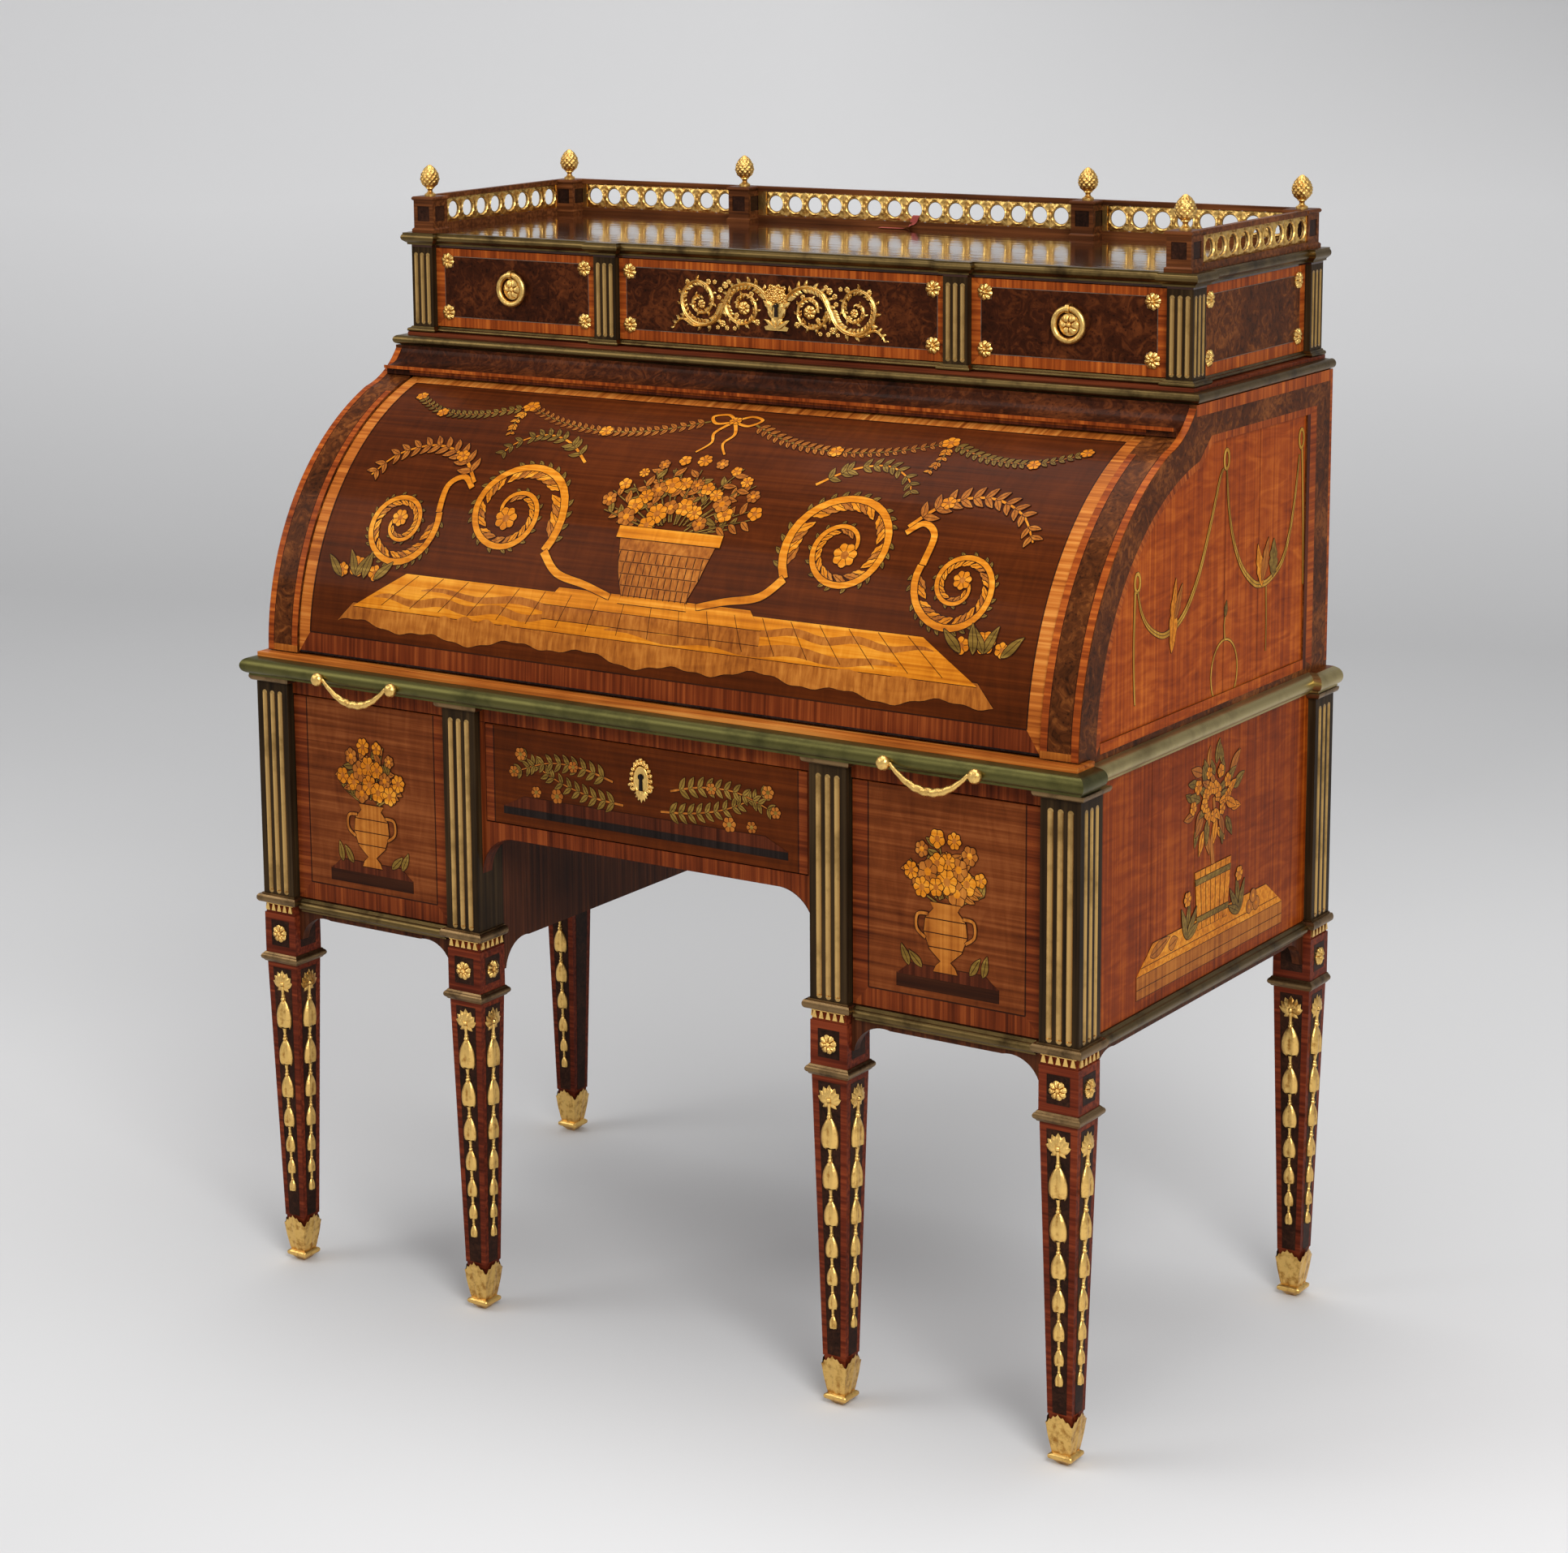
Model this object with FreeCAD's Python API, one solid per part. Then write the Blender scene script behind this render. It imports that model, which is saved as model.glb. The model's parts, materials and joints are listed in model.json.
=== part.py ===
import FreeCAD, Part
import math
import os

V = FreeCAD.Vector
os.makedirs("parts", exist_ok=True)

# Cylinder desk on six legs. Millimetres, +Z up, origin on the floor under the middle of the desk,
# front towards -Y, right hand of the person who sits at it towards -X.

# ---- heights, each member on the one below it ----
FOOT_TOP = 6.0
SABOT_BASE = FOOT_TOP + 8.0
SABOT_TOP = SABOT_BASE + 46.0
SHAFT_TOP = SABOT_TOP + 334.0
COLLAR_TOP = SHAFT_TOP + 12.0
BLOCK_TOP = COLLAR_TOP + 51.0
BOARD_LOW = BLOCK_TOP + 7.0
POST_BASE = BLOCK_TOP + 14.0
POST_FOOT = POST_BASE + 11.0
PEDESTAL_FLOOR = BOARD_LOW + 16.0
CARCASE_TOP = PEDESTAL_FLOOR + 280.0
POST_TOP = CARCASE_TOP - 2.0
SIDE_TOP = CARCASE_TOP - 20.0
RAIL_LOW = CARCASE_TOP - 22.0
FRIEZE_LOW = CARCASE_TOP - 160.0
FRIEZE_BAND_TOP = FRIEZE_LOW + 18.0
WAIST_LOW = CARCASE_TOP - 1.5
WAIST_TOP = CARCASE_TOP + 21.5
SLIDE_TOP = CARCASE_TOP + 25.0
SLIDE_EDGE_TOP = SLIDE_TOP + 2.0
CASING_LOW = SLIDE_TOP + 3.0

# ---- widths and depths ----
BOARD = 18.0
BACK_THICK = 12.0
BACK_Y = 326.0
BACK_INNER_Y = BACK_Y - BACK_THICK
POST = 48.0
POST_OUT_X = 568.0
POST_FRONT_Y = -298.0
POST_PROUD = 10.0
SIDE_X = POST_OUT_X - POST_PROUD
SIDE_INNER_X = SIDE_X - BOARD
PANEL_Y = POST_FRONT_Y + POST_PROUD
KNEE_X = 232.0
INNER_POST_X = KNEE_X + POST
OUTER_POST_X = POST_OUT_X - POST
FRONT_THICK = 18.0
LEG_X = POST_OUT_X - POST / 2
LEG_INNER_X = KNEE_X + POST / 2
LEG_FRONT_Y = POST_FRONT_Y + POST / 2
LEG_BACK_Y = BACK_Y - POST / 2

# ---- cylinder and writing slide ----
AXIS_Y = 46.0
AXIS_Z = SLIDE_TOP - 1.0
ROLL_R = 329.0
CASING_R = ROLL_R + 3.0
ROLL_THICK = 16.0
FACING_X = SIDE_INNER_X - 28.0
ROLL_X = FACING_X - 1.0
ROLL_LOW_DEG = 1.0
ROLL_HIGH_DEG = 75.0
LEVER = 217.0
LEVER_DEG = 33.0
LEVER_SWEEP = LEVER * math.sin(math.radians(LEVER_DEG))
SLIDE_X = FACING_X + 3.0
SLIDE_FRONT_Y = POST_FRONT_Y - 2.0
SLIDE_BACK_Y = BACK_INNER_Y - 24.0
SLIDE_RETURN_Y = SLIDE_FRONT_Y + 38.0
SLIDE_EDGE_X = SIDE_X + 6.0
NOSE = 16.0
SIDE_NOSE = 12.0

# ---- attic ----
ATTIC_BASE = AXIS_Z + ROLL_R + 21.0
ATTIC_FLOOR = ATTIC_BASE + 16.0
ATTIC_POST_LOW = ATTIC_FLOOR + 7.0
ATTIC_POST_TOP = ATTIC_POST_LOW + 100.0
TOP_Z = ATTIC_POST_TOP + 18.0
ATTIC_POST = 32.0
ATTIC_POST_X = SIDE_X - 15.0
ATTIC_POST_Y = AXIS_Y - 52.0
ATTIC_SIDE_X = ATTIC_POST_X - 8.0
ATTIC_FACE_Y = ATTIC_POST_Y + 8.0
ATTIC_INNER_X = 229.0
ATTIC_BASE_X = ATTIC_POST_X + 5.0
ATTIC_BASE_Y = ATTIC_POST_Y - 6.0
RING_R = 18.3
RING_WIRE = 3.6
RING_X = (ATTIC_INNER_X + ATTIC_POST_X) / 2 + 3.0
RING_Y = ATTIC_FACE_Y - 6.0
RING_Z = (ATTIC_POST_LOW + ATTIC_POST_TOP) / 2 + 3.0

# ---- gallery ----
STRIP_LOW = TOP_Z + 8.0
STRIP_TOP = STRIP_LOW + 31.0
GALLERY_CAP = STRIP_TOP + 1.0
GALLERY_TOP = STRIP_TOP + 6.0
FINIAL_TOP = GALLERY_TOP + 39.0
GALLERY_POST = 30.0
GALLERY_X = ATTIC_POST_X - 19.0
GALLERY_INNER_X = ATTIC_INNER_X + 17.5
GALLERY_FRONT_Y = ATTIC_POST_Y + 16.0
GALLERY_BACK_Y = BACK_Y - 20.0
GALLERY_STRIP_X = GALLERY_X + 12.0
GALLERY_STRIP_Y = GALLERY_BACK_Y + 10.0
RING_PITCH = 29.3
RING_HOLE = 21.0

# ---- festoon handles ----
SWAG_X = 396.5
SWAG_HALF = 56.5
SWAG_Z = CARCASE_TOP + 8.0
SWAG_Y = SLIDE_FRONT_Y - NOSE - 3.5
SWAG_LOW = SWAG_Z - 26.0

# ---- clearances ----
SLIDE_GAP = 1.0
RUN_GAP = 0.1
DRAWER_GAP = 1.0
PIN_GAP = 0.05
LOOSE_GAP = 0.6


# ---------------------------------------------------------------- tools

def box(x0, x1, y0, y1, z0, z1):
    return Part.makeBox(x1 - x0, y1 - y0, z1 - z0, V(x0, y0, z0))


def outline(points, place):
    """Closed wire; a point with a third entry is the middle of an arc."""
    edges = []
    start = place(points[0])
    middle = None
    for point in points[1:] + points[:1]:
        here = place(point)
        if len(point) == 3:
            middle = here
            continue
        if middle is None:
            edges.append(Part.makeLine(start, here))
        else:
            edges.append(Part.Arc(start, middle, here).toShape())
        middle = None
        start = here
    return Part.Wire(edges)


def prism_x(points, x0, x1):
    face = Part.Face(outline(points, lambda p: V(x0, p[0], p[1])))
    return face.extrude(V(x1 - x0, 0, 0))


def prism_y(points, y0, y1):
    face = Part.Face(outline(points, lambda p: V(p[0], y0, p[1])))
    return face.extrude(V(0, y1 - y0, 0))


def prism_z(points, z0, z1):
    face = Part.Face(outline(points, lambda p: V(p[0], p[1], z0)))
    return face.extrude(V(0, 0, z1 - z0))


def mirrored(shape):
    return shape.mirror(V(0, 0, 0), V(1, 0, 0))


def both_sides(shapes):
    return shapes + [mirrored(shape) for shape in shapes]


def solids_of(shapes):
    found = []
    for shape in shapes:
        found.extend(shape.Solids)
    return found


def save(name, shapes):
    solids = solids_of(shapes)
    whole = solids[0] if len(solids) == 1 else Part.makeCompound(solids)
    whole.exportStep("parts/" + name + ".step")


def moulding(path, section):
    """Mitred moulding along a plan path; the section's offsets grow to the right of travel."""
    spine = Part.makePolygon([V(x, y, 0) for x, y in path])
    (x0, y0), (x1, y1) = path[0], path[1]
    length = math.hypot(x1 - x0, y1 - y0)
    right = V((y1 - y0) / length, -(x1 - x0) / length, 0)
    wire = outline(section, lambda p: V(x0, y0, 0) + right * p[0] + V(0, 0, p[1]))
    sweep = Part.BRepOffsetAPI.MakePipeShell(spine)
    sweep.setTransitionMode(1)
    sweep.add(wire)
    sweep.build()
    sweep.makeSolid()
    return sweep.shape()


def square_turned(cx, cy, half_section):
    """Square piece whose four mitred sides follow one half section (half width, height)."""
    other = [(-p[0],) + p[1:] for p in reversed(half_section)]
    whole = half_section + other
    reach = max(p[0] for p in half_section) + 1
    across = [(cx + p[0],) + p[1:] for p in whole]
    along = [(cy + p[0],) + p[1:] for p in whole]
    return prism_y(across, cy - reach, cy + reach).common(prism_x(along, cx - reach, cx + reach))


def frustum(cx, cy, z0, half0, z1, half1):
    wires = []
    for z, half in ((z0, half0), (z1, half1)):
        corners = [(-half, -half), (half, -half), (half, half), (-half, half), (-half, -half)]
        wires.append(Part.makePolygon([V(cx + dx, cy + dy, z) for dx, dy in corners]))
    return Part.makeLoft(wires, True, True)


def rod_x(radius, x0, x1, y, z):
    return Part.makeCylinder(radius, x1 - x0, V(x0, y, z), V(1, 0, 0))


def on_arc(radius, degrees):
    """Point (y, z) about the cylinder's axis; 0 degrees is level towards the front."""
    turn = math.radians(degrees)
    return (AXIS_Y - radius * math.cos(turn), AXIS_Z + radius * math.sin(turn))


def arc_band(inner, outer, low, high, x0, x1):
    middle = (low + high) / 2
    points = [
        on_arc(outer, low),
        on_arc(outer, middle) + (1,),
        on_arc(outer, high),
        on_arc(inner, high),
        on_arc(inner, middle) + (1,),
        on_arc(inner, low),
    ]
    return prism_x(points, x0, x1)


def spoke(inner, outer, degrees, width, x0, x1):
    """Flat bar that points away from the cylinder's axis."""
    y, z = AXIS_Y, AXIS_Z
    bar = box(x0, x1, y - outer, y - inner, z - width / 2, z + width / 2)
    bar.rotate(V(0, y, z), V(-1, 0, 0), degrees)
    return bar


# ---------------------------------------------------------------- legs

LEG_PLACES = {
    "leg_front_left": (-LEG_X, LEG_FRONT_Y),
    "leg_front_inner_left": (-LEG_INNER_X, LEG_FRONT_Y),
    "leg_front_inner_right": (LEG_INNER_X, LEG_FRONT_Y),
    "leg_front_right": (LEG_X, LEG_FRONT_Y),
    "leg_rear_left": (-LEG_X, LEG_BACK_Y),
    "leg_rear_right": (LEG_X, LEG_BACK_Y),
}
TIP_HALF = 5.0
CORE_LOW_HALF = 8.0
CORE_HALF = 14.0
SHAFT_LOW_HALF = 15.0
SHAFT_TOP_HALF = 23.0
NECK_HALF = 19.0
FILLET_HALF = 22.5
DOWEL_R = 6.0
DOWEL_LOW = COLLAR_TOP + 14.0
DOWEL_TOP = POST_BASE + 39.0


def leg(cx, cy):
    body = frustum(cx, cy, 0, TIP_HALF, FOOT_TOP, 10.0)
    body = body.fuse(frustum(cx, cy, FOOT_TOP, CORE_LOW_HALF, SABOT_TOP, CORE_HALF))
    body = body.fuse(frustum(cx, cy, SABOT_TOP, SHAFT_LOW_HALF, SHAFT_TOP, SHAFT_TOP_HALF))
    body = body.fuse(frustum(cx, cy, SHAFT_TOP, NECK_HALF, COLLAR_TOP, NECK_HALF))
    body = body.fuse(frustum(cx, cy, COLLAR_TOP, POST / 2, BLOCK_TOP, POST / 2))
    body = body.fuse(frustum(cx, cy, BLOCK_TOP, FILLET_HALF, POST_BASE, FILLET_HALF))
    bore = Part.makeCylinder(DOWEL_R, POST_BASE - DOWEL_LOW, V(cx, cy, DOWEL_LOW))
    return body.removeSplitter().cut(bore)


def leg_collar(cx, cy):
    middle = (SHAFT_TOP + COLLAR_TOP) / 2
    half_section = [(25.0, SHAFT_TOP), (26.5, SHAFT_TOP + 2), (29.0, middle, 1), (26.5, COLLAR_TOP - 2),
                    (25.0, COLLAR_TOP)]
    ring = square_turned(cx, cy, half_section)
    ring = ring.cut(frustum(cx, cy, SHAFT_TOP, NECK_HALF, COLLAR_TOP, NECK_HALF))
    return ring.common(box(cx - POST, cx + POST, cy - POST, min(cy + POST, BACK_Y), SHAFT_TOP, COLLAR_TOP))


def sabot(cx, cy):
    middle = (FOOT_TOP + SABOT_BASE) / 2
    flange = square_turned(cx, cy, [(12.0, FOOT_TOP), (14.7, middle, 1), (12.0, SABOT_BASE)])
    cup = square_turned(cx, cy, [(11.0, SABOT_BASE), (13.5, SABOT_BASE + 18, 1), (17.5, SABOT_TOP - 4),
                                 (16.5, SABOT_TOP)])
    shell = flange.fuse(cup).cut(frustum(cx, cy, FOOT_TOP, CORE_LOW_HALF, SABOT_TOP, CORE_HALF))
    leaf_gap = 3.0
    for offset in (-5.5, 5.5):
        shell = shell.cut(rod_x(leaf_gap, cx - 20, cx + 20, cy + offset, SABOT_TOP))
        across = Part.makeCylinder(leaf_gap, 40, V(cx + offset, cy - 20, SABOT_TOP), V(0, 1, 0))
        shell = shell.cut(across)
    return shell


def build_legs():
    places = list(LEG_PLACES.values())
    for name, (cx, cy) in LEG_PLACES.items():
        save(name, [leg(cx, cy)])
    save("leg_collars", [leg_collar(cx, cy) for cx, cy in places])
    save("leg_sabots", [sabot(cx, cy) for cx, cy in places])
    length = DOWEL_TOP - DOWEL_LOW
    save("leg_screws", [Part.makeCylinder(DOWEL_R, length, V(cx, cy, DOWEL_LOW)) for cx, cy in places])


# ---------------------------------------------------------------- lower case

FLUTE_DEEP = 3.0
SPANDREL = 50.0
SPANDREL_LOW = BLOCK_TOP - 31.0

# fluting: post width, flute width, pitch, lower end, upper end
CASE_FLUTES = (POST, 7.0, 12.0, POST_FOOT + 1.0, POST_TOP - 18.0)
ATTIC_FLUTES = (ATTIC_POST, 6.0, 9.5, ATTIC_POST_LOW + 3.0, ATTIC_POST_TOP - 7.0)

# posts of the right half: place, fluting, fluted faces
CASE_POSTS = [
    (LEG_X, LEG_FRONT_Y, CASE_FLUTES, ("front", "right")),
    (LEG_INNER_X, LEG_FRONT_Y, CASE_FLUTES, ("front",)),
    (LEG_X, LEG_BACK_Y, CASE_FLUTES, ("right",)),
]
ATTIC_POSTS = [
    (ATTIC_POST_X - ATTIC_POST / 2, ATTIC_POST_Y + ATTIC_POST / 2, ATTIC_FLUTES, ("front", "right")),
    (ATTIC_INNER_X + ATTIC_POST / 2, ATTIC_POST_Y + ATTIC_POST / 2, ATTIC_FLUTES, ("front",)),
    (ATTIC_POST_X - ATTIC_POST / 2, BACK_Y - ATTIC_POST / 2, ATTIC_FLUTES, ("right",)),
]


def flute_strip(width, low, high, hollow):
    """Upright strip with arched ends, its face on y = 0 and its middle on x = 0."""
    half = width / 2
    points = [(-half, low + half), (0, low, 1), (half, low + half), (half, high - half), (0, high, 1),
              (-half, high - half)]
    strip = prism_y(points, 0, FLUTE_DEEP)
    if hollow:
        radius = half + 0.5
        strip = strip.cut(Part.makeCylinder(radius, high - low - width, V(0, 2.0 - radius, low + half)))
    return strip


def flutes_on_post(post, hollow):
    """Three flutes on each fluted face of a square post."""
    cx, cy, (size, width, pitch, low, high), faces = post
    strips = []
    for face in faces:
        turn = {"front": 0, "right": 90}[face]
        for step in (-1, 0, 1):
            strip = flute_strip(width, low, high, hollow)
            strip.translate(V(step * pitch, -size / 2, 0))
            strip.rotate(V(0, 0, 0), V(0, 0, 1), turn)
            strip.translate(V(cx, cy, 0))
            strips.append(strip)
    return strips


def fluted_post(post, low, high):
    cx, cy, fluting, faces = post
    half = fluting[0] / 2
    body = box(cx - half, cx + half, cy - half, cy + half, low, high)
    return body.cut(flutes_on_post(post, False))


def posts_right():
    made = []
    for post in CASE_POSTS:
        bore = Part.makeCylinder(DOWEL_R, DOWEL_TOP - POST_BASE, V(post[0], post[1], POST_BASE))
        made.append(fluted_post(post, POST_BASE, POST_TOP).cut(bore))
    return made


def flutes():
    made = []
    for post in CASE_POSTS + ATTIC_POSTS:
        made.extend(flutes_on_post(post, True))
    return both_sides(made)


def post_mouldings():
    quirk = POST_FOOT - 1.5
    base = [(0, POST_BASE), (5, POST_BASE), (7, POST_BASE + 5, 1), (5, quirk), (2, quirk), (2, POST_FOOT),
            (0, POST_FOOT)]
    low = POST_TOP - 7.0
    capital = [(0, low), (3, low), (7, low + 4, 1), (7, POST_TOP), (0, POST_TOP)]
    front, side = POST_FRONT_Y, POST_OUT_X
    corner = [(OUTER_POST_X, PANEL_Y), (OUTER_POST_X, front), (side, front), (side, front + POST),
              (SIDE_X, front + POST)]
    knee_base = [(KNEE_X, front + POST), (KNEE_X, front), (INNER_POST_X, front), (INNER_POST_X, PANEL_Y)]
    knee_capital = [(KNEE_X, PANEL_Y)] + knee_base[1:]
    rear = [(SIDE_X, BACK_Y - POST), (side, BACK_Y - POST), (side, BACK_Y)]
    made = [moulding(path, base) for path in (corner, knee_base, rear)]
    made += [moulding(path, capital) for path in (corner, knee_capital, rear)]
    return both_sides(made)


def bottom_mouldings():
    low, high = BOARD_LOW, PEDESTAL_FLOOR
    section = [(0, low), (4, low), (4, low + 2), (9, low + 7, 1), (5, high - 3), (2, high), (0, high)]
    room = 7.0
    front = [(INNER_POST_X + room, PANEL_Y), (OUTER_POST_X - room, PANEL_Y)]
    side = [(SIDE_X, POST_FRONT_Y + POST + room), (SIDE_X, BACK_Y - POST - room)]
    return both_sides([moulding(front, section), moulding(side, section)])


def spandrel(from_x, away):
    """Quarter-curved bracket under the apron, beside a leg block, in the x-z plane."""
    drop = BOARD_LOW - SPANDREL_LOW
    bend = math.sqrt(0.5)
    far = from_x + away * SPANDREL
    rise = drop - 7
    middle = (far - away * SPANDREL * bend, SPANDREL_LOW + rise * bend, 1)
    return [(from_x, BOARD_LOW), (from_x, SPANDREL_LOW), (from_x + away * 3, SPANDREL_LOW),
            middle, (far, BLOCK_TOP), (far, BOARD_LOW)]


def brackets_right():
    thick = 12.0
    made = []
    for points in (spandrel(INNER_POST_X, 1), spandrel(OUTER_POST_X, -1)):
        made.append(prism_y(points, PANEL_Y, PANEL_Y + thick))
    side_front = POST_FRONT_Y + POST
    side_back = BACK_Y - POST
    for x0, x1 in ((SIDE_X - thick, SIDE_X), (KNEE_X, KNEE_X + thick)):
        made.append(prism_x(spandrel(side_front, 1), x0, x1))
    made.append(prism_x(spandrel(side_back, -1), SIDE_X - thick, SIDE_X))
    return made


def aprons_right():
    """Thin aprons between the brackets, under the bottom moulding."""
    thick = 12.0
    front = box(INNER_POST_X + SPANDREL, OUTER_POST_X - SPANDREL, PANEL_Y, PANEL_Y + thick, BLOCK_TOP, BOARD_LOW)
    near = POST_FRONT_Y + POST + SPANDREL
    side = box(SIDE_X - thick, SIDE_X, near, BACK_Y - POST - SPANDREL, BLOCK_TOP, BOARD_LOW)
    knee = box(KNEE_X, KNEE_X + thick, near, BACK_Y, BLOCK_TOP, BOARD_LOW)
    return [front, side, knee]


PEDESTAL_BOX_X = (INNER_POST_X + 6.0, OUTER_POST_X - 8.0)
GUIDE_TOP = PEDESTAL_FLOOR + 20.0


def pedestal_right():
    front = POST_FRONT_Y + POST
    back = BACK_Y - POST
    low = PEDESTAL_FLOOR
    boards = [
        box(SIDE_INNER_X, SIDE_X, front, back, BOARD_LOW, SIDE_TOP),
        box(KNEE_X, KNEE_X + BOARD, front, BACK_INNER_Y, BOARD_LOW, SIDE_TOP),
        box(KNEE_X + BOARD, SIDE_INNER_X, front, back, BOARD_LOW, low),
        box(KNEE_X + BOARD, OUTER_POST_X, back, BACK_INNER_Y, BOARD_LOW, low),
        box(INNER_POST_X, OUTER_POST_X, PANEL_Y, front, BOARD_LOW, low),
        box(KNEE_X, OUTER_POST_X, BACK_INNER_Y, BACK_Y, BOARD_LOW, SIDE_TOP),
        box(INNER_POST_X, OUTER_POST_X, PANEL_Y, front, RAIL_LOW, CARCASE_TOP),
        box(KNEE_X + BOARD, PEDESTAL_BOX_X[0] - DRAWER_GAP, front, BACK_INNER_Y, low, GUIDE_TOP),
        box(PEDESTAL_BOX_X[1] + DRAWER_GAP, SIDE_INNER_X, front, back, low, GUIDE_TOP),
    ]
    return boards + aprons_right() + brackets_right()


STILE_X = KNEE_X - 7.5


def kneehole_frame():
    """Frieze over the kneehole: arched apron, ceiling board, drawer guides, rail and back."""
    arch = 45.0
    bend = math.sqrt(0.5)
    side_low = FRIEZE_LOW - arch - 2.0
    y0, y1 = PANEL_Y, PANEL_Y + FRONT_THICK
    inner = KNEE_X - arch
    middle = (inner + arch * bend, side_low + arch * bend, 1)
    corner = prism_y([(inner, FRIEZE_LOW), middle, (KNEE_X, side_low), (KNEE_X, FRIEZE_BAND_TOP),
                      (inner, FRIEZE_BAND_TOP)], y0, y1)
    paired = [
        corner,
        box(STILE_X, KNEE_X, y0, y1, FRIEZE_BAND_TOP, RAIL_LOW),
        box(STILE_X, KNEE_X, y1, BACK_INNER_Y, FRIEZE_BAND_TOP, RAIL_LOW),
    ]
    ceiling = FRIEZE_BAND_TOP - 12.0
    single = [
        box(-inner, inner, y0, y1, FRIEZE_LOW, FRIEZE_BAND_TOP),
        box(-KNEE_X, KNEE_X, y1, BACK_INNER_Y, ceiling, FRIEZE_BAND_TOP),
        box(-KNEE_X, KNEE_X, BACK_INNER_Y, BACK_Y, FRIEZE_LOW, SIDE_TOP),
        box(-KNEE_X, KNEE_X, y0, POST_FRONT_Y + POST, RAIL_LOW, CARCASE_TOP),
    ]
    return single + both_sides(paired)


WELL = (AXIS_Y - LEVER_SWEEP - 18.0, AXIS_Y + LEVER_SWEEP + 20.0)


def top_board():
    """Dust board over the lower case, open at both sides where the levers pass."""
    front = POST_FRONT_Y + POST
    middle = box(-SLIDE_X + 1, SLIDE_X - 1, front, BACK_Y, SIDE_TOP, CARCASE_TOP)
    sides = [
        box(SLIDE_X - 1, SIDE_X, front, WELL[0], SIDE_TOP, CARCASE_TOP),
        box(SIDE_INNER_X, SIDE_X, WELL[0], WELL[1], SIDE_TOP, CARCASE_TOP),
        box(SLIDE_X - 1, SIDE_X, WELL[1], BACK_Y - POST, SIDE_TOP, CARCASE_TOP),
        box(SLIDE_X - 1, OUTER_POST_X, BACK_Y - POST, BACK_Y, SIDE_TOP, CARCASE_TOP),
    ]
    high = CARCASE_TOP + 14.0
    guides = [
        box(SLIDE_X + SLIDE_GAP, SIDE_INNER_X, front, WELL[0] - 4, CARCASE_TOP, high),
        box(SLIDE_X + SLIDE_GAP, SIDE_INNER_X, WELL[1] + 4, BACK_INNER_Y, CARCASE_TOP, high),
    ]
    return [middle] + both_sides(sides + guides)


def waist_section(shoulder, nose):
    """Half-round member between a small step below and a chamfer above."""
    return [(0, WAIST_LOW), (shoulder, WAIST_LOW), (shoulder, WAIST_LOW + 2.5), (nose, WAIST_LOW + 10.0, 1),
            (shoulder, WAIST_TOP - 1.5), (0, WAIST_TOP)]


def waist_moulding():
    start = SLIDE_RETURN_Y + SLIDE_GAP
    path = [(SIDE_X, start), (SIDE_X, BACK_Y - POST), (POST_OUT_X, BACK_Y - POST), (POST_OUT_X, BACK_Y)]
    return both_sides([moulding(path, waist_section(5.0, SIDE_NOSE))])


# ---------------------------------------------------------------- writing slide

def writing_slide():
    low = CARCASE_TOP + RUN_GAP
    board = box(-SLIDE_X, SLIDE_X, SLIDE_RETURN_Y, SLIDE_BACK_Y, low, SLIDE_TOP)
    edge = box(-SLIDE_EDGE_X, SLIDE_EDGE_X, SLIDE_FRONT_Y, SLIDE_RETURN_Y, low, SLIDE_EDGE_TOP)
    return [board, edge]


BALL_R = 6.5
SWAG_PIN_R = 1.5
SWAG_PIN_IN = 4.0


def swag_post(x, towards):
    """Ball on a short neck at the moulding's nose, bored from one side for the handle's pin."""
    ball = Part.makeSphere(BALL_R, V(x, SWAG_Y, SWAG_Z))
    neck_length = 8.0
    neck = Part.makeCylinder(4.0, neck_length, V(x, SWAG_Y, SWAG_Z), V(0, 1, 0))
    bore = Part.makeCylinder(SWAG_PIN_R + PIN_GAP, BALL_R + 1, V(x, SWAG_Y, SWAG_Z), V(towards, 0, 0))
    return ball.fuse(neck).cut(bore)


def slide_moulding():
    path = [(-SLIDE_EDGE_X, SLIDE_RETURN_Y), (-SLIDE_EDGE_X, SLIDE_FRONT_Y), (SLIDE_EDGE_X, SLIDE_FRONT_Y),
            (SLIDE_EDGE_X, SLIDE_RETURN_Y)]
    return [moulding(path, waist_section(8.0, NOSE))]


def swag_posts():
    rail = slide_moulding()[0]
    right = [swag_post(SWAG_X - SWAG_HALF, 1).cut(rail), swag_post(SWAG_X + SWAG_HALF, -1).cut(rail)]
    return both_sides(right)


def swag(side):
    """Hanging loop with a pin at each end that turns in the balls."""
    wire_r = 3.0
    end = SWAG_HALF - BALL_R - wire_r - LOOSE_GAP
    left = V(SWAG_X - end, SWAG_Y, SWAG_Z)
    right = V(SWAG_X + end, SWAG_Y, SWAG_Z)
    low = V(SWAG_X, SWAG_Y, SWAG_LOW)
    curve = Part.Arc(left, low, right)
    start = curve.tangent(curve.FirstParameter)[0]
    ring = Part.Wire(Part.makeCircle(wire_r, left, start))
    loop = Part.Wire(curve.toShape()).makePipeShell([ring], True, False)
    for place, towards in ((left, -1), (right, 1)):
        loop = loop.fuse(Part.makeSphere(wire_r, place))
        length = SWAG_PIN_IN + wire_r + LOOSE_GAP
        loop = loop.fuse(Part.makeCylinder(SWAG_PIN_R, length, place, V(towards, 0, 0)))
    return [loop] if side > 0 else [mirrored(loop)]


BRACKET_THICK = 4.0


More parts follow.
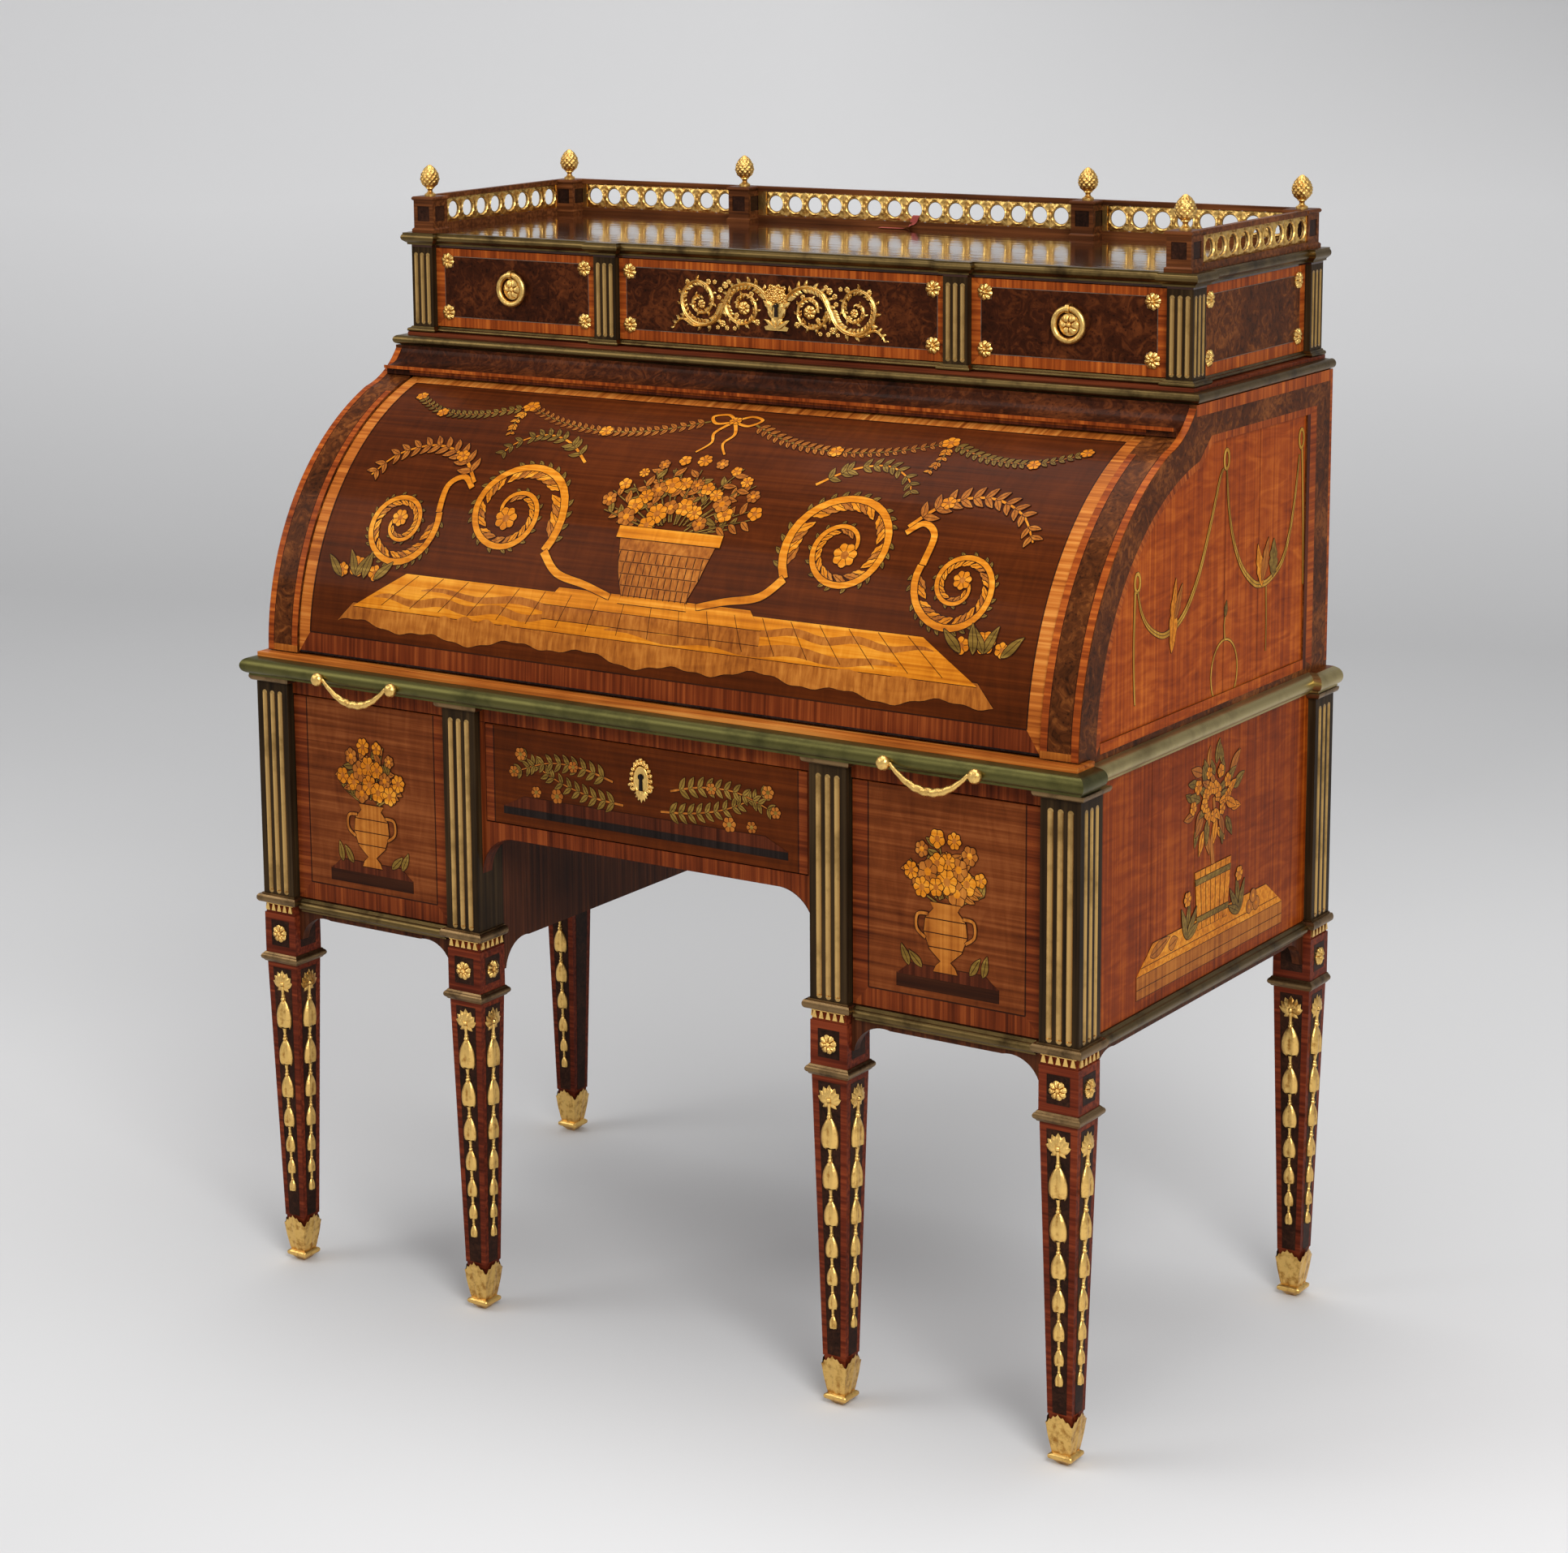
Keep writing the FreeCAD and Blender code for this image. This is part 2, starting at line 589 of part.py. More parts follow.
def slide_brackets():
    """Side plates of the slide; the lever's pin runs in the upright slot."""
    pin_y = AXIS_Y + LEVER_SWEEP
    pin_high = AXIS_Z - LEVER * math.cos(math.radians(LEVER_DEG))
    pin_low = AXIS_Z - LEVER
    slot_half = 6.0
    wide = 14.0
    plate = box(SLIDE_X, SLIDE_X + BRACKET_THICK, pin_y - wide, pin_y + wide, pin_low - 18, SLIDE_TOP)
    slot = box(SLIDE_X - 1, SLIDE_X + 5, pin_y - slot_half, pin_y + slot_half, pin_low - 8, pin_high + 12)
    return both_sides([plate.cut(slot)])


# ---------------------------------------------------------------- cylinder

RIB_R = ROLL_R - ROLL_THICK - 0.4
RIB_IN = RIB_R - 9.6
ARM_X = (SLIDE_X + 6.0, SLIDE_X + 14.0)
HUB_R = 20.0
PIN_R = 6.0
STAVES = 8


def staves(inner, outer, low, high, x0, x1, count):
    """Curved board coopered from equal staves."""
    step = (high - low) / count
    return [arc_band(inner, outer, low + step * i, low + step * (i + 1), x0, x1) for i in range(count)]


def roll_panel():
    inner = ROLL_R - ROLL_THICK
    return staves(inner, ROLL_R, ROLL_LOW_DEG, ROLL_HIGH_DEG, -ROLL_X, ROLL_X, STAVES)


def roll_arms():
    """Quadrant ribs under the roll's ends, their spokes, hubs and the levers that drive the roll."""
    x0, x1 = ARM_X
    arm = rod_x(HUB_R, x0, x1, AXIS_Y, AXIS_Z)
    for degrees in (14.0, 60.0):
        arm = arm.fuse(spoke(HUB_R - 4, RIB_R - 3, degrees, 22.0, x0, x1))
    arm = arm.fuse(arc_band(RIB_IN, RIB_R, 5.0, 73.0, ROLL_X - 12, x1 + 5))
    arm = arm.fuse(spoke(HUB_R - 4, LEVER + 10, -90.0 - LEVER_DEG, 18.0, x0, x1))
    pin_y = AXIS_Y + LEVER_SWEEP
    pin_z = AXIS_Z - LEVER * math.cos(math.radians(LEVER_DEG))
    arm = arm.fuse(rod_x(3.0, SLIDE_X + 0.5, x0 + 1, pin_y, pin_z))
    arm = arm.cut(rod_x(PIN_R + PIN_GAP, x0 - 1, x1 + 1, AXIS_Y, AXIS_Z))
    return both_sides([arm.removeSplitter()])


def axle_pins():
    start = SLIDE_X + BRACKET_THICK + LOOSE_GAP
    head = rod_x(11.0, start, ARM_X[0] - 0.5, AXIS_Y, AXIS_Z)
    pin = rod_x(PIN_R, start, SKIN_IN_X, AXIS_Y, AXIS_Z)
    return both_sides([head.fuse(pin).removeSplitter()])


# ---------------------------------------------------------------- casing

NECK_DEG = 66.5
NECK_TOP_Y = AXIS_Y - 70.0
NECK_MIDDLE = (NECK_TOP_Y - 22.0, ATTIC_BASE - 27.0)
NECK_TOP_Z = ATTIC_BASE - 4.0
SKIN_IN_X = SIDE_X - 9
FRAME_THICK = 2.0
COVE_LIP_Y = AXIS_Y - 106.0
COVE_FACE_Y = COVE_LIP_Y + 6.0
COVE_BACK_Y = AXIS_Y - 66.0


def casing_front(radius):
    """Front edge of the casing side from its foot to the attic base."""
    low = math.degrees(math.asin((CASING_LOW - AXIS_Z) / radius))
    middle = on_arc(radius, (low + NECK_DEG) / 2)
    top = on_arc(radius, NECK_DEG)
    return [on_arc(radius, low), middle + (1,), top, NECK_MIDDLE + (1,), (NECK_TOP_Y, NECK_TOP_Z)]


def casing_outline():
    start = casing_front(CASING_R)
    return start + [(NECK_TOP_Y, ATTIC_BASE), (BACK_Y, ATTIC_BASE), (BACK_Y, CARCASE_TOP),
                    (SLIDE_RETURN_Y + SLIDE_GAP, CARCASE_TOP), (SLIDE_RETURN_Y + SLIDE_GAP, CASING_LOW)]


def side_field():
    """Sunk field in the outer face of the casing side."""
    inset = 46.0
    radius = CASING_R - inset
    low_z = CASING_LOW + 12
    low = math.degrees(math.asin((low_z - AXIS_Z) / radius))
    high_z = ATTIC_BASE - 46
    high = 78.0
    back = BACK_Y - 66
    top = on_arc(radius, high)
    return [on_arc(radius, low), on_arc(radius, (low + high) / 2) + (1,), top, (top[0] + 30, high_z),
            (back, high_z), (back, low_z)]


def casing_right():
    skin = prism_x(casing_outline(), SKIN_IN_X, SIDE_X - FRAME_THICK)
    frame = prism_x(casing_outline(), SIDE_X - FRAME_THICK, SIDE_X)
    frame = frame.cut(prism_x(side_field(), SIDE_X - FRAME_THICK - 1, SIDE_X + 1))
    liner = prism_x(casing_outline(), SIDE_INNER_X, SKIN_IN_X)
    liner = liner.common(arc_band(0.1, CASING_R, 0.0, 90.0, SIDE_INNER_X, SKIN_IN_X).fuse(
        box(SIDE_INNER_X, SKIN_IN_X, AXIS_Y, BACK_Y, CARCASE_TOP, ATTIC_BASE)).fuse(
        box(SIDE_INNER_X, SKIN_IN_X, SLIDE_RETURN_Y, BACK_Y, CARCASE_TOP, CASING_LOW)))
    bore = rod_x(PIN_R, SIDE_INNER_X - 1, SKIN_IN_X, AXIS_Y, AXIS_Z)
    liner = liner.cut(bore).cut(cove_block())
    room = box(FACING_X, SIDE_INNER_X, AXIS_Y - CASING_R, COVE_FACE_Y, CASING_LOW, ATTIC_BASE)
    facing = staves(CASING_R - ROLL_THICK, CASING_R, 0.6, 76.0, FACING_X, SIDE_INNER_X, STAVES)
    facing = [stave.common(room) for stave in facing]
    filler = box(SIDE_X, POST_OUT_X, BACK_Y - POST, BACK_Y, CARCASE_TOP, WAIST_TOP)
    return [skin, frame, liner.removeSplitter(), filler] + facing


def cove_block():
    return box(FACING_X - 20, SKIN_IN_X, COVE_FACE_Y, COVE_BACK_Y, ATTIC_BASE - 44, ATTIC_BASE)


def above_roll(y):
    """Height just clear of the turning roll at depth y."""
    reach = CASING_R + 1.0
    return AXIS_Z + math.sqrt(reach ** 2 - (AXIS_Y - y) ** 2)


def cove():
    """Hollow moulding over the roll with its lip and the fascia beneath."""
    lip = ATTIC_BASE - 25.0
    points = [(NECK_TOP_Y, ATTIC_BASE), (NECK_TOP_Y, NECK_TOP_Z), (NECK_TOP_Y - 10, lip + 8.5, 1),
              (COVE_LIP_Y, lip + 4), (COVE_LIP_Y, lip), (COVE_FACE_Y, lip), (COVE_FACE_Y, above_roll(COVE_FACE_Y)),
              (COVE_BACK_Y, above_roll(COVE_BACK_Y)), (COVE_BACK_Y, ATTIC_BASE)]
    return [prism_x(points, -SKIN_IN_X, SKIN_IN_X)]


def upper_back():
    return [box(-SIDE_INNER_X, SIDE_INNER_X, BACK_INNER_Y, BACK_Y, CARCASE_TOP, ATTIC_BASE)]


# ---------------------------------------------------------------- nest of pigeonholes

NEST_X = ROLL_X - 11.0
NEST_FRONT = AXIS_Y + 24.0
NEST_LIP = NEST_FRONT + 22.0
NEST_BACK = BACK_INNER_Y - 34.0
NEST_FLOOR = CASING_LOW + 12.0
NEST_TOP = NEST_FLOOR + 165.0
NEST_SHELF = (NEST_FLOOR + 68.0, NEST_FLOOR + 76.0)
NEST_DIVIDER_X = 170.0


def nest():
    thick = 10.0
    floor = box(-SIDE_INNER_X, SIDE_INNER_X, NEST_LIP, BACK_INNER_Y, CASING_LOW, NEST_FLOOR)
    lip = box(-NEST_X, NEST_X, NEST_FRONT, NEST_LIP, CASING_LOW, NEST_FLOOR)
    top = box(-NEST_X, NEST_X, NEST_FRONT, NEST_BACK, NEST_TOP - thick, NEST_TOP)
    back = box(-NEST_X, NEST_X, NEST_BACK - thick, NEST_BACK, NEST_FLOOR, NEST_TOP - thick)
    inner_back = NEST_BACK - thick
    paired = [
        box(NEST_X - thick, NEST_X, NEST_FRONT, inner_back, NEST_FLOOR, NEST_TOP - thick),
        box(NEST_DIVIDER_X, NEST_DIVIDER_X + thick, NEST_FRONT, inner_back, NEST_FLOOR, NEST_TOP - thick),
        box(NEST_DIVIDER_X + thick, NEST_X - thick, NEST_FRONT, inner_back, NEST_SHELF[0], NEST_SHELF[1]),
    ]
    span = NEST_X - NEST_DIVIDER_X - 2 * thick
    for step in (1, 2):
        x = NEST_DIVIDER_X + thick + span * step / 3
        paired.append(box(x - 3, x + 3, NEST_FRONT, inner_back, NEST_SHELF[1], NEST_TOP - thick))
    return [floor, lip, top, back] + both_sides(paired)


# ---------------------------------------------------------------- drawers

def drawer_front(x0, x1, y, z0, z1):
    return [box(x0 + DRAWER_GAP, x1 - DRAWER_GAP, y, y + FRONT_THICK, z0, z1)]


def drawer_box(x0, x1, y0, y1, z0, z1, side):
    """Two sides, a back and a bottom behind the front."""
    floor = 6.0
    return [
        box(x0, x0 + side, y0, y1, z0, z1),
        box(x1 - side, x1, y0, y1, z0, z1),
        box(x0 + side, x1 - side, y1 - side, y1, z0, z1),
        box(x0 + side, x1 - side, y0, y1 - side, z0, z0 + floor),
    ]


ATTIC_DRAWER_Z = (ATTIC_POST_LOW + 1.0, ATTIC_POST_TOP - 1.0)
NEST_DRAWER_TOP = NEST_SHELF[0] - 1.0


def build_drawers():
    z0, z1 = ATTIC_DRAWER_Z
    y0 = ATTIC_FACE_Y + FRONT_THICK
    side_x = (ATTIC_INNER_X + ATTIC_POST, ATTIC_POST_X - ATTIC_POST)
    front = drawer_front(side_x[0], side_x[1], ATTIC_FACE_Y, z0, z1)
    y1 = BACK_INNER_Y - 14
    floor = ATTIC_POST_LOW + RUN_GAP
    inside = drawer_box(side_x[0] + 3, side_x[1] - 3, y0, y1, floor, z1 - 12, 10.0)
    save("attic_drawer_right_front", front)
    save("attic_drawer_right_box", inside)
    save("attic_drawer_left_front", [mirrored(shape) for shape in front])
    save("attic_drawer_left_box", [mirrored(shape) for shape in inside])
    save("attic_drawer_centre_front", drawer_front(-ATTIC_INNER_X, ATTIC_INNER_X, ATTIC_FACE_Y, z0, z1))
    half = ATTIC_INNER_X - 3
    save("attic_drawer_centre_box", drawer_box(-half, half, y0, y1, floor, z1 - 12, 10.0))

    low = FRIEZE_BAND_TOP + 1.5
    high = RAIL_LOW - 2.0
    floor = FRIEZE_BAND_TOP + RUN_GAP
    y0 = PANEL_Y + FRONT_THICK
    y1 = BACK_INNER_Y - 24
    save("frieze_drawer_front", drawer_front(-STILE_X, STILE_X, PANEL_Y, low, high))
    save("frieze_drawer_box", drawer_box(3 - STILE_X, STILE_X - 3, y0, y1, floor, high - 14, 12.0))

    x0, x1 = PEDESTAL_BOX_X
    front = drawer_front(INNER_POST_X + 1, OUTER_POST_X - 1, PANEL_Y, PEDESTAL_FLOOR + 1.5, high)
    inside = drawer_box(x0, x1, y0, y1, PEDESTAL_FLOOR + RUN_GAP, high - 36, 12.0)
    save("pedestal_drawer_right_front", front)
    save("pedestal_drawer_right_box", inside)
    save("pedestal_drawer_left_front", [mirrored(shape) for shape in front])
    save("pedestal_drawer_left_box", [mirrored(shape) for shape in inside])

    x0 = NEST_DIVIDER_X + 10 + DRAWER_GAP
    x1 = NEST_X - 10 - DRAWER_GAP
    low = NEST_FLOOR + RUN_GAP
    face = box(x0, x1, NEST_FRONT + 2, NEST_FRONT + 12, low, NEST_DRAWER_TOP)
    middle = (x0 + x1) / 2
    height = (low + NEST_DRAWER_TOP) / 2
    knob = Part.makeCylinder(2.5, 6.0, V(middle, NEST_FRONT + 2, height), V(0, -1, 0))
    knob = knob.fuse(Part.makeSphere(6.0, V(middle, NEST_FRONT - 8, height)))
    y1 = NEST_BACK - 18
    small = [face.fuse(knob)] + drawer_box(x0, x1, NEST_FRONT + 12, y1, low, NEST_DRAWER_TOP - 6, 8.0)
    save("nest_drawer_right", small)
    save("nest_drawer_left", [mirrored(shape) for shape in small])


# ---------------------------------------------------------------- attic

def attic_plan():
    """Half path of the attic's face with a break round each post, from the middle to the back."""
    inner = ATTIC_INNER_X
    outer = ATTIC_INNER_X + ATTIC_POST
    corner = ATTIC_POST_X - ATTIC_POST
    near = ATTIC_POST_Y + ATTIC_POST
    far = BACK_Y - ATTIC_POST
    return [(inner, ATTIC_FACE_Y), (inner, ATTIC_POST_Y), (outer, ATTIC_POST_Y), (outer, ATTIC_FACE_Y),
            (corner, ATTIC_FACE_Y), (corner, ATTIC_POST_Y), (ATTIC_POST_X, ATTIC_POST_Y),
            (ATTIC_POST_X, near), (ATTIC_SIDE_X, near), (ATTIC_SIDE_X, far), (ATTIC_POST_X, far),
            (ATTIC_POST_X, BACK_Y)]


def attic_path():
    right = attic_plan()
    return [(-x, y) for x, y in reversed(right)] + right


def attic_carcase():
    near = ATTIC_POST_Y + ATTIC_POST
    far = BACK_Y - ATTIC_POST
    low, high = ATTIC_POST_LOW, ATTIC_POST_TOP
    corner = ATTIC_POST_X - ATTIC_POST
    plate = box(-ATTIC_BASE_X, ATTIC_BASE_X, ATTIC_BASE_Y, BACK_Y, ATTIC_BASE, ATTIC_FLOOR)
    floor = prism_z(attic_path(), ATTIC_FLOOR, low)
    back = box(-corner, corner, BACK_INNER_Y, BACK_Y, low, high)
    paired = [
        box(corner, ATTIC_SIDE_X, near, far, low, high),
        box(ATTIC_INNER_X, ATTIC_INNER_X + ATTIC_POST, near, BACK_INNER_Y, low, high),
    ]
    return [plate, floor, back] + both_sides(paired)


def attic_pilasters():
    return both_sides([fluted_post(post, ATTIC_POST_LOW, ATTIC_POST_TOP) for post in ATTIC_POSTS])


def attic_mouldings():
    foot = ATTIC_BASE
    low = [(0, foot), (6, foot), (6, foot + 1.5), (14, foot + 6, 1), (6, foot + 11.5), (0, foot + 12)]
    base = ATTIC_BASE_X
    path = [(-base, BACK_Y), (-base, ATTIC_BASE_Y), (base, ATTIC_BASE_Y), (base, BACK_Y)]
    foot, high = ATTIC_FLOOR, ATTIC_POST_LOW
    small = [(0, foot), (4, foot), (6, foot + 2.3, 1), (3, high - 2), (1.5, high), (0, high)]
    return [moulding(path, low), moulding(attic_path(), small)]


def attic_top():
    return [prism_z(attic_path(), ATTIC_POST_TOP, TOP_Z)]


def cornice():
    low = TOP_Z - 15.0
    section = [(0, low), (4, low), (4, low + 2), (8, low + 5), (10, low + 9.5, 1), (8, low + 13), (8, TOP_Z),
               (0, TOP_Z)]
    return [moulding(attic_path(), section)]


# ---------------------------------------------------------------- ring pulls

BOSS_R = 12.5
BOSS_THICK = 4.0
LUG_HALF = 2.5


def ring_plate():
    """Round boss inside the ring, with a strap up to the lug that the ring hangs from."""
    top = RING_Z + RING_R
    lug = RING_WIRE + LOOSE_GAP + 1.0
    plate = Part.makeCylinder(BOSS_R, BOSS_THICK, V(RING_X, ATTIC_FACE_Y, RING_Z), V(0, -1, 0))
    plate = plate.fuse(box(RING_X - LUG_HALF, RING_X + LUG_HALF, ATTIC_FACE_Y - 1, ATTIC_FACE_Y, RING_Z, top + lug))
    plate = plate.fuse(rod_x(lug, RING_X - LUG_HALF, RING_X + LUG_HALF, RING_Y, top))
    plate = plate.fuse(box(RING_X - LUG_HALF, RING_X + LUG_HALF, RING_Y, ATTIC_FACE_Y, top - lug, top + lug))
    return plate.cut(rod_x(RING_WIRE + LOOSE_GAP, RING_X - 10, RING_X + 10, RING_Y, top)).removeSplitter()


def ring():
    return Part.makeTorus(RING_R, RING_WIRE, V(RING_X, RING_Y, RING_Z), V(0, 1, 0))


# ---------------------------------------------------------------- gallery

PLINTH_HALF = 17.0
STRIP_HALF = 1.5
RAIL_HALF = 4.0
SINK_HALF = 9.5


def gallery_places():
    corners = [(GALLERY_X, GALLERY_FRONT_Y), (GALLERY_X, GALLERY_BACK_Y), (GALLERY_INNER_X, GALLERY_BACK_Y)]
    return corners + [(-x, y) for x, y in corners]


def gallery_post(cx, cy):
    post = frustum(cx, cy, TOP_Z + 6, GALLERY_POST / 2, GALLERY_CAP, GALLERY_POST / 2)
    for dx, dy in ((0, -1), (0, 1), (1, 0), (-1, 0)):
        reach = GALLERY_POST / 2 + SINK_HALF - 1
        middle = (STRIP_LOW + STRIP_TOP) / 2
        sink = box(-SINK_HALF, SINK_HALF, -SINK_HALF, SINK_HALF, middle - SINK_HALF, middle + SINK_HALF)
        sink.translate(V(cx + dx * reach, cy + dy * reach, 0))
        post = post.cut(sink)
    return post


def gallery_bays():
    """Straight runs between the posts: (axis, start, end, fixed place)."""
    reach = GALLERY_POST / 2
    inner = GALLERY_INNER_X
    side = (GALLERY_FRONT_Y + reach, GALLERY_BACK_Y - reach)
    return [
        ("x", -GALLERY_X + reach, -inner - reach, GALLERY_STRIP_Y),
        ("x", -inner + reach, inner - reach, GALLERY_STRIP_Y),
        ("x", inner + reach, GALLERY_X - reach, GALLERY_STRIP_Y),
        ("y", side[0], side[1], -GALLERY_STRIP_X),
        ("y", side[0], side[1], GALLERY_STRIP_X),
    ]


def along(bay, half, z0, z1):
    axis, start, end, fixed = bay
    if axis == "x":
        return box(start, end, fixed - half, fixed + half, z0, z1)
    return box(fixed - half, fixed + half, start, end, z0, z1)


def ring_strip(bay):
    """Pierced strip: one round hole for each ring of the gallery."""
    axis, start, end, fixed = bay
    strip = along(bay, STRIP_HALF, STRIP_LOW, STRIP_TOP)
    count = int((end - start) / RING_PITCH)
    middle = (start + end) / 2
    height = (STRIP_LOW + STRIP_TOP) / 2
    holes = []
    for step in range(count):
        place = middle + (step - (count - 1) / 2) * RING_PITCH
        if axis == "x":
            hole = Part.makeCylinder(RING_HOLE / 2, 10, V(place, fixed - 5, height), V(0, 1, 0))
        else:
            hole = Part.makeCylinder(RING_HOLE / 2, 10, V(fixed - 5, place, height), V(1, 0, 0))
        holes.append(hole)
    return strip.cut(holes)


def gallery_rails():
    made = []
    for bay in gallery_bays():
        made.append(along(bay, RAIL_HALF, TOP_Z, STRIP_LOW))
        made.append(along(bay, RAIL_HALF, STRIP_TOP, GALLERY_TOP))
    for cx, cy in gallery_places():
        plinth = [(PLINTH_HALF, TOP_Z), (PLINTH_HALF, TOP_Z + 4), (GALLERY_POST / 2, TOP_Z + 6)]
        cap = [(GALLERY_POST / 2, GALLERY_CAP), (PLINTH_HALF, GALLERY_CAP + 2.5, 1),
               (GALLERY_POST / 2, GALLERY_TOP)]
        made.append(square_turned(cx, cy, plinth))
        made.append(square_turned(cx, cy, cap))
    return trimmed_rails(made)


def trimmed_rails(pieces):
    """The plinths and caps stay whole; the rails stop against them."""
    count = 2 * len(gallery_bays())
    blocks = pieces[count:]
    return [rail.cut(blocks) for rail in pieces[:count]] + blocks


def finial(cx, cy):
    """Egg on a turned stem."""
    foot = GALLERY_TOP
    egg = foot + 11.0
    stem = [(5.0, egg), (3.5, egg - 1.5), (3.0, egg - 5.0), (5.5, egg - 7.0), (7.0, egg - 8.5), (7.0, foot),
            (0, foot), (0, FINIAL_TOP)]
    shoulder = [(5.0, egg), (10.6, egg + 4.5), (12.5, egg + 12.0), (9.8, egg + 20.0), (5.0, egg + 25.0),
                (0, FINIAL_TOP)]
    curve = Part.BSplineCurve()
    curve.interpolate([V(cx + r, cy, z) for r, z in shoulder])
    wire = Part.Wire([Part.makePolygon([V(cx + r, cy, z) for r, z in stem]), curve.toShape()])
    return Part.Face(wire).revolve(V(cx, cy, 0), V(0, 0, 1), 360)


# ---------------------------------------------------------------- all sub-parts

def main():
    build_legs()
    right = posts_right()
    save("posts_right", right)
    save("posts_left", [mirrored(shape) for shape in right])
    save("flutes", flutes())
    save("post_mouldings", post_mouldings())
    save("bottom_moulding", bottom_mouldings())
    right = pedestal_right()
    save("pedestal_right", right)
    save("pedestal_left", [mirrored(shape) for shape in right])
    save("kneehole_frame", kneehole_frame())
    save("top_board", top_board())
    save("waist_moulding", waist_moulding())
    save("writing_slide", writing_slide())
    save("slide_moulding", slide_moulding())
    save("swag_posts", swag_posts())
    save("swag_right", swag(1))
    save("swag_left", swag(-1))
    save("slide_brackets", slide_brackets())
    save("roll_panel", roll_panel())
    save("roll_arms", roll_arms())
    save("axle_pins", axle_pins())
    right = casing_right()
    save("casing_right", right)
    save("casing_left", [mirrored(shape) for shape in right])
    save("cove", cove())
    save("upper_back", upper_back())
    save("nest", nest())
    build_drawers()
    save("attic_carcase", attic_carcase())
    save("attic_pilasters", attic_pilasters())
    save("attic_mouldings", attic_mouldings())
    save("attic_top", attic_top())
    save("cornice", cornice())
    save("ring_plate_right", [ring_plate()])
    save("ring_plate_left", [mirrored(ring_plate())])
    save("ring_right", [ring()])
    save("ring_left", [mirrored(ring())])
    save("gallery_posts", [gallery_post(cx, cy) for cx, cy in gallery_places()])
    save("gallery_rails", gallery_rails())
    save("gallery_rings", [ring_strip(bay) for bay in gallery_bays()])
    save("finials", [finial(cx, cy) for cx, cy in gallery_places()])


main()
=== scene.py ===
import fnmatch
import json
import math
import random

import bmesh
import bpy
from mathutils import Matrix, Vector


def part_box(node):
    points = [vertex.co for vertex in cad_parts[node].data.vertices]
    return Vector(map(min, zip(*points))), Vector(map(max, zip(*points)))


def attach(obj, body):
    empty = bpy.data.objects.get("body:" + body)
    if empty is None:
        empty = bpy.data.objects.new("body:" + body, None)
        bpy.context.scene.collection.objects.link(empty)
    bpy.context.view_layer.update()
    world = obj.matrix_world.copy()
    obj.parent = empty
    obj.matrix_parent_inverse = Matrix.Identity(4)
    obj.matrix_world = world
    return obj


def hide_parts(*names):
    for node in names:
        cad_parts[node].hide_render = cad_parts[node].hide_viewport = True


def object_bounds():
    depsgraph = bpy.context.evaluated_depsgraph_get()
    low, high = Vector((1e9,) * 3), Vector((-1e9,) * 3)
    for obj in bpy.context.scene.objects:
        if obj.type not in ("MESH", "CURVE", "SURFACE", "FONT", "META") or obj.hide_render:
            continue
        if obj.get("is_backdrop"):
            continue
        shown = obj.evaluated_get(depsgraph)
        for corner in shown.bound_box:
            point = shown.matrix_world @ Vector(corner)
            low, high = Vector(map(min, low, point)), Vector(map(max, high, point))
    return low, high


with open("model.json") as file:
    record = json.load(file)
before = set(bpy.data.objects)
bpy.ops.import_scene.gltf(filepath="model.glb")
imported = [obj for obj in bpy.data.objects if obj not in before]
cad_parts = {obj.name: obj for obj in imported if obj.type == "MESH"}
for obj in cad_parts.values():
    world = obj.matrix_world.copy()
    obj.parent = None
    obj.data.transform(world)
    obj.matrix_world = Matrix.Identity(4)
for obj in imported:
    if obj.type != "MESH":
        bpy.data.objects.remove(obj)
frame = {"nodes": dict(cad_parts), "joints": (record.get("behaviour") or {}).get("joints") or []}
CAD_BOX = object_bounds()

# Cylinder desk: looks. Its pieces are in millimetres; the camera, the room and the shaders are in metres.
# Front towards -Y, +Z up, origin on the floor under the desk.
MM = 0.001
SIDES = ((1, "right"), (-1, "left"))
FACES = (0, 90, 180, -90)


def low(node, axis):
    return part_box(node)[0]["xyz".index(axis)] / MM


def high(node, axis):
    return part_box(node)[1]["xyz".index(axis)] / MM


def front_box(node):
    """Left, right, bottom and top of a front."""
    return low(node, "x"), high(node, "x"), low(node, "z"), high(node, "z")


def pivot(name):
    joint = next(joint for joint in frame["joints"] if joint["name"] == name)
    return Vector(joint["pos_m"]) / MM


# ---- measures taken from the frame ----
AXIS = pivot("roll_turn")
ROLL_R = AXIS.y - low("roll_panel", "y")
CASING_R = ROLL_R + 3
PANEL_Y = low("pedestal_drawer_right_front", "y")
POST_Y = low("posts_right", "y")
POST_HALF = 24
SIDE_X = high("pedestal_right", "x")
BACK_Y = high("pedestal_right", "y")
KNEE_X = low("pedestal_right", "x")
ATTIC_BASE = low("attic_carcase", "z")
ATTIC_FACE_Y = low("attic_drawer_centre_front", "y")
ATTIC_SIDE_X = high("attic_carcase", "x") - 13
TOP_Z = high("attic_top", "z")

# ---- thicknesses ----
BAND = 0.25  # a veneer
STACK = 0.006  # between sheets that overlap
LINE = 0.8  # half a line of stringing
ROLL_STEP = 6  # a facet of the roll

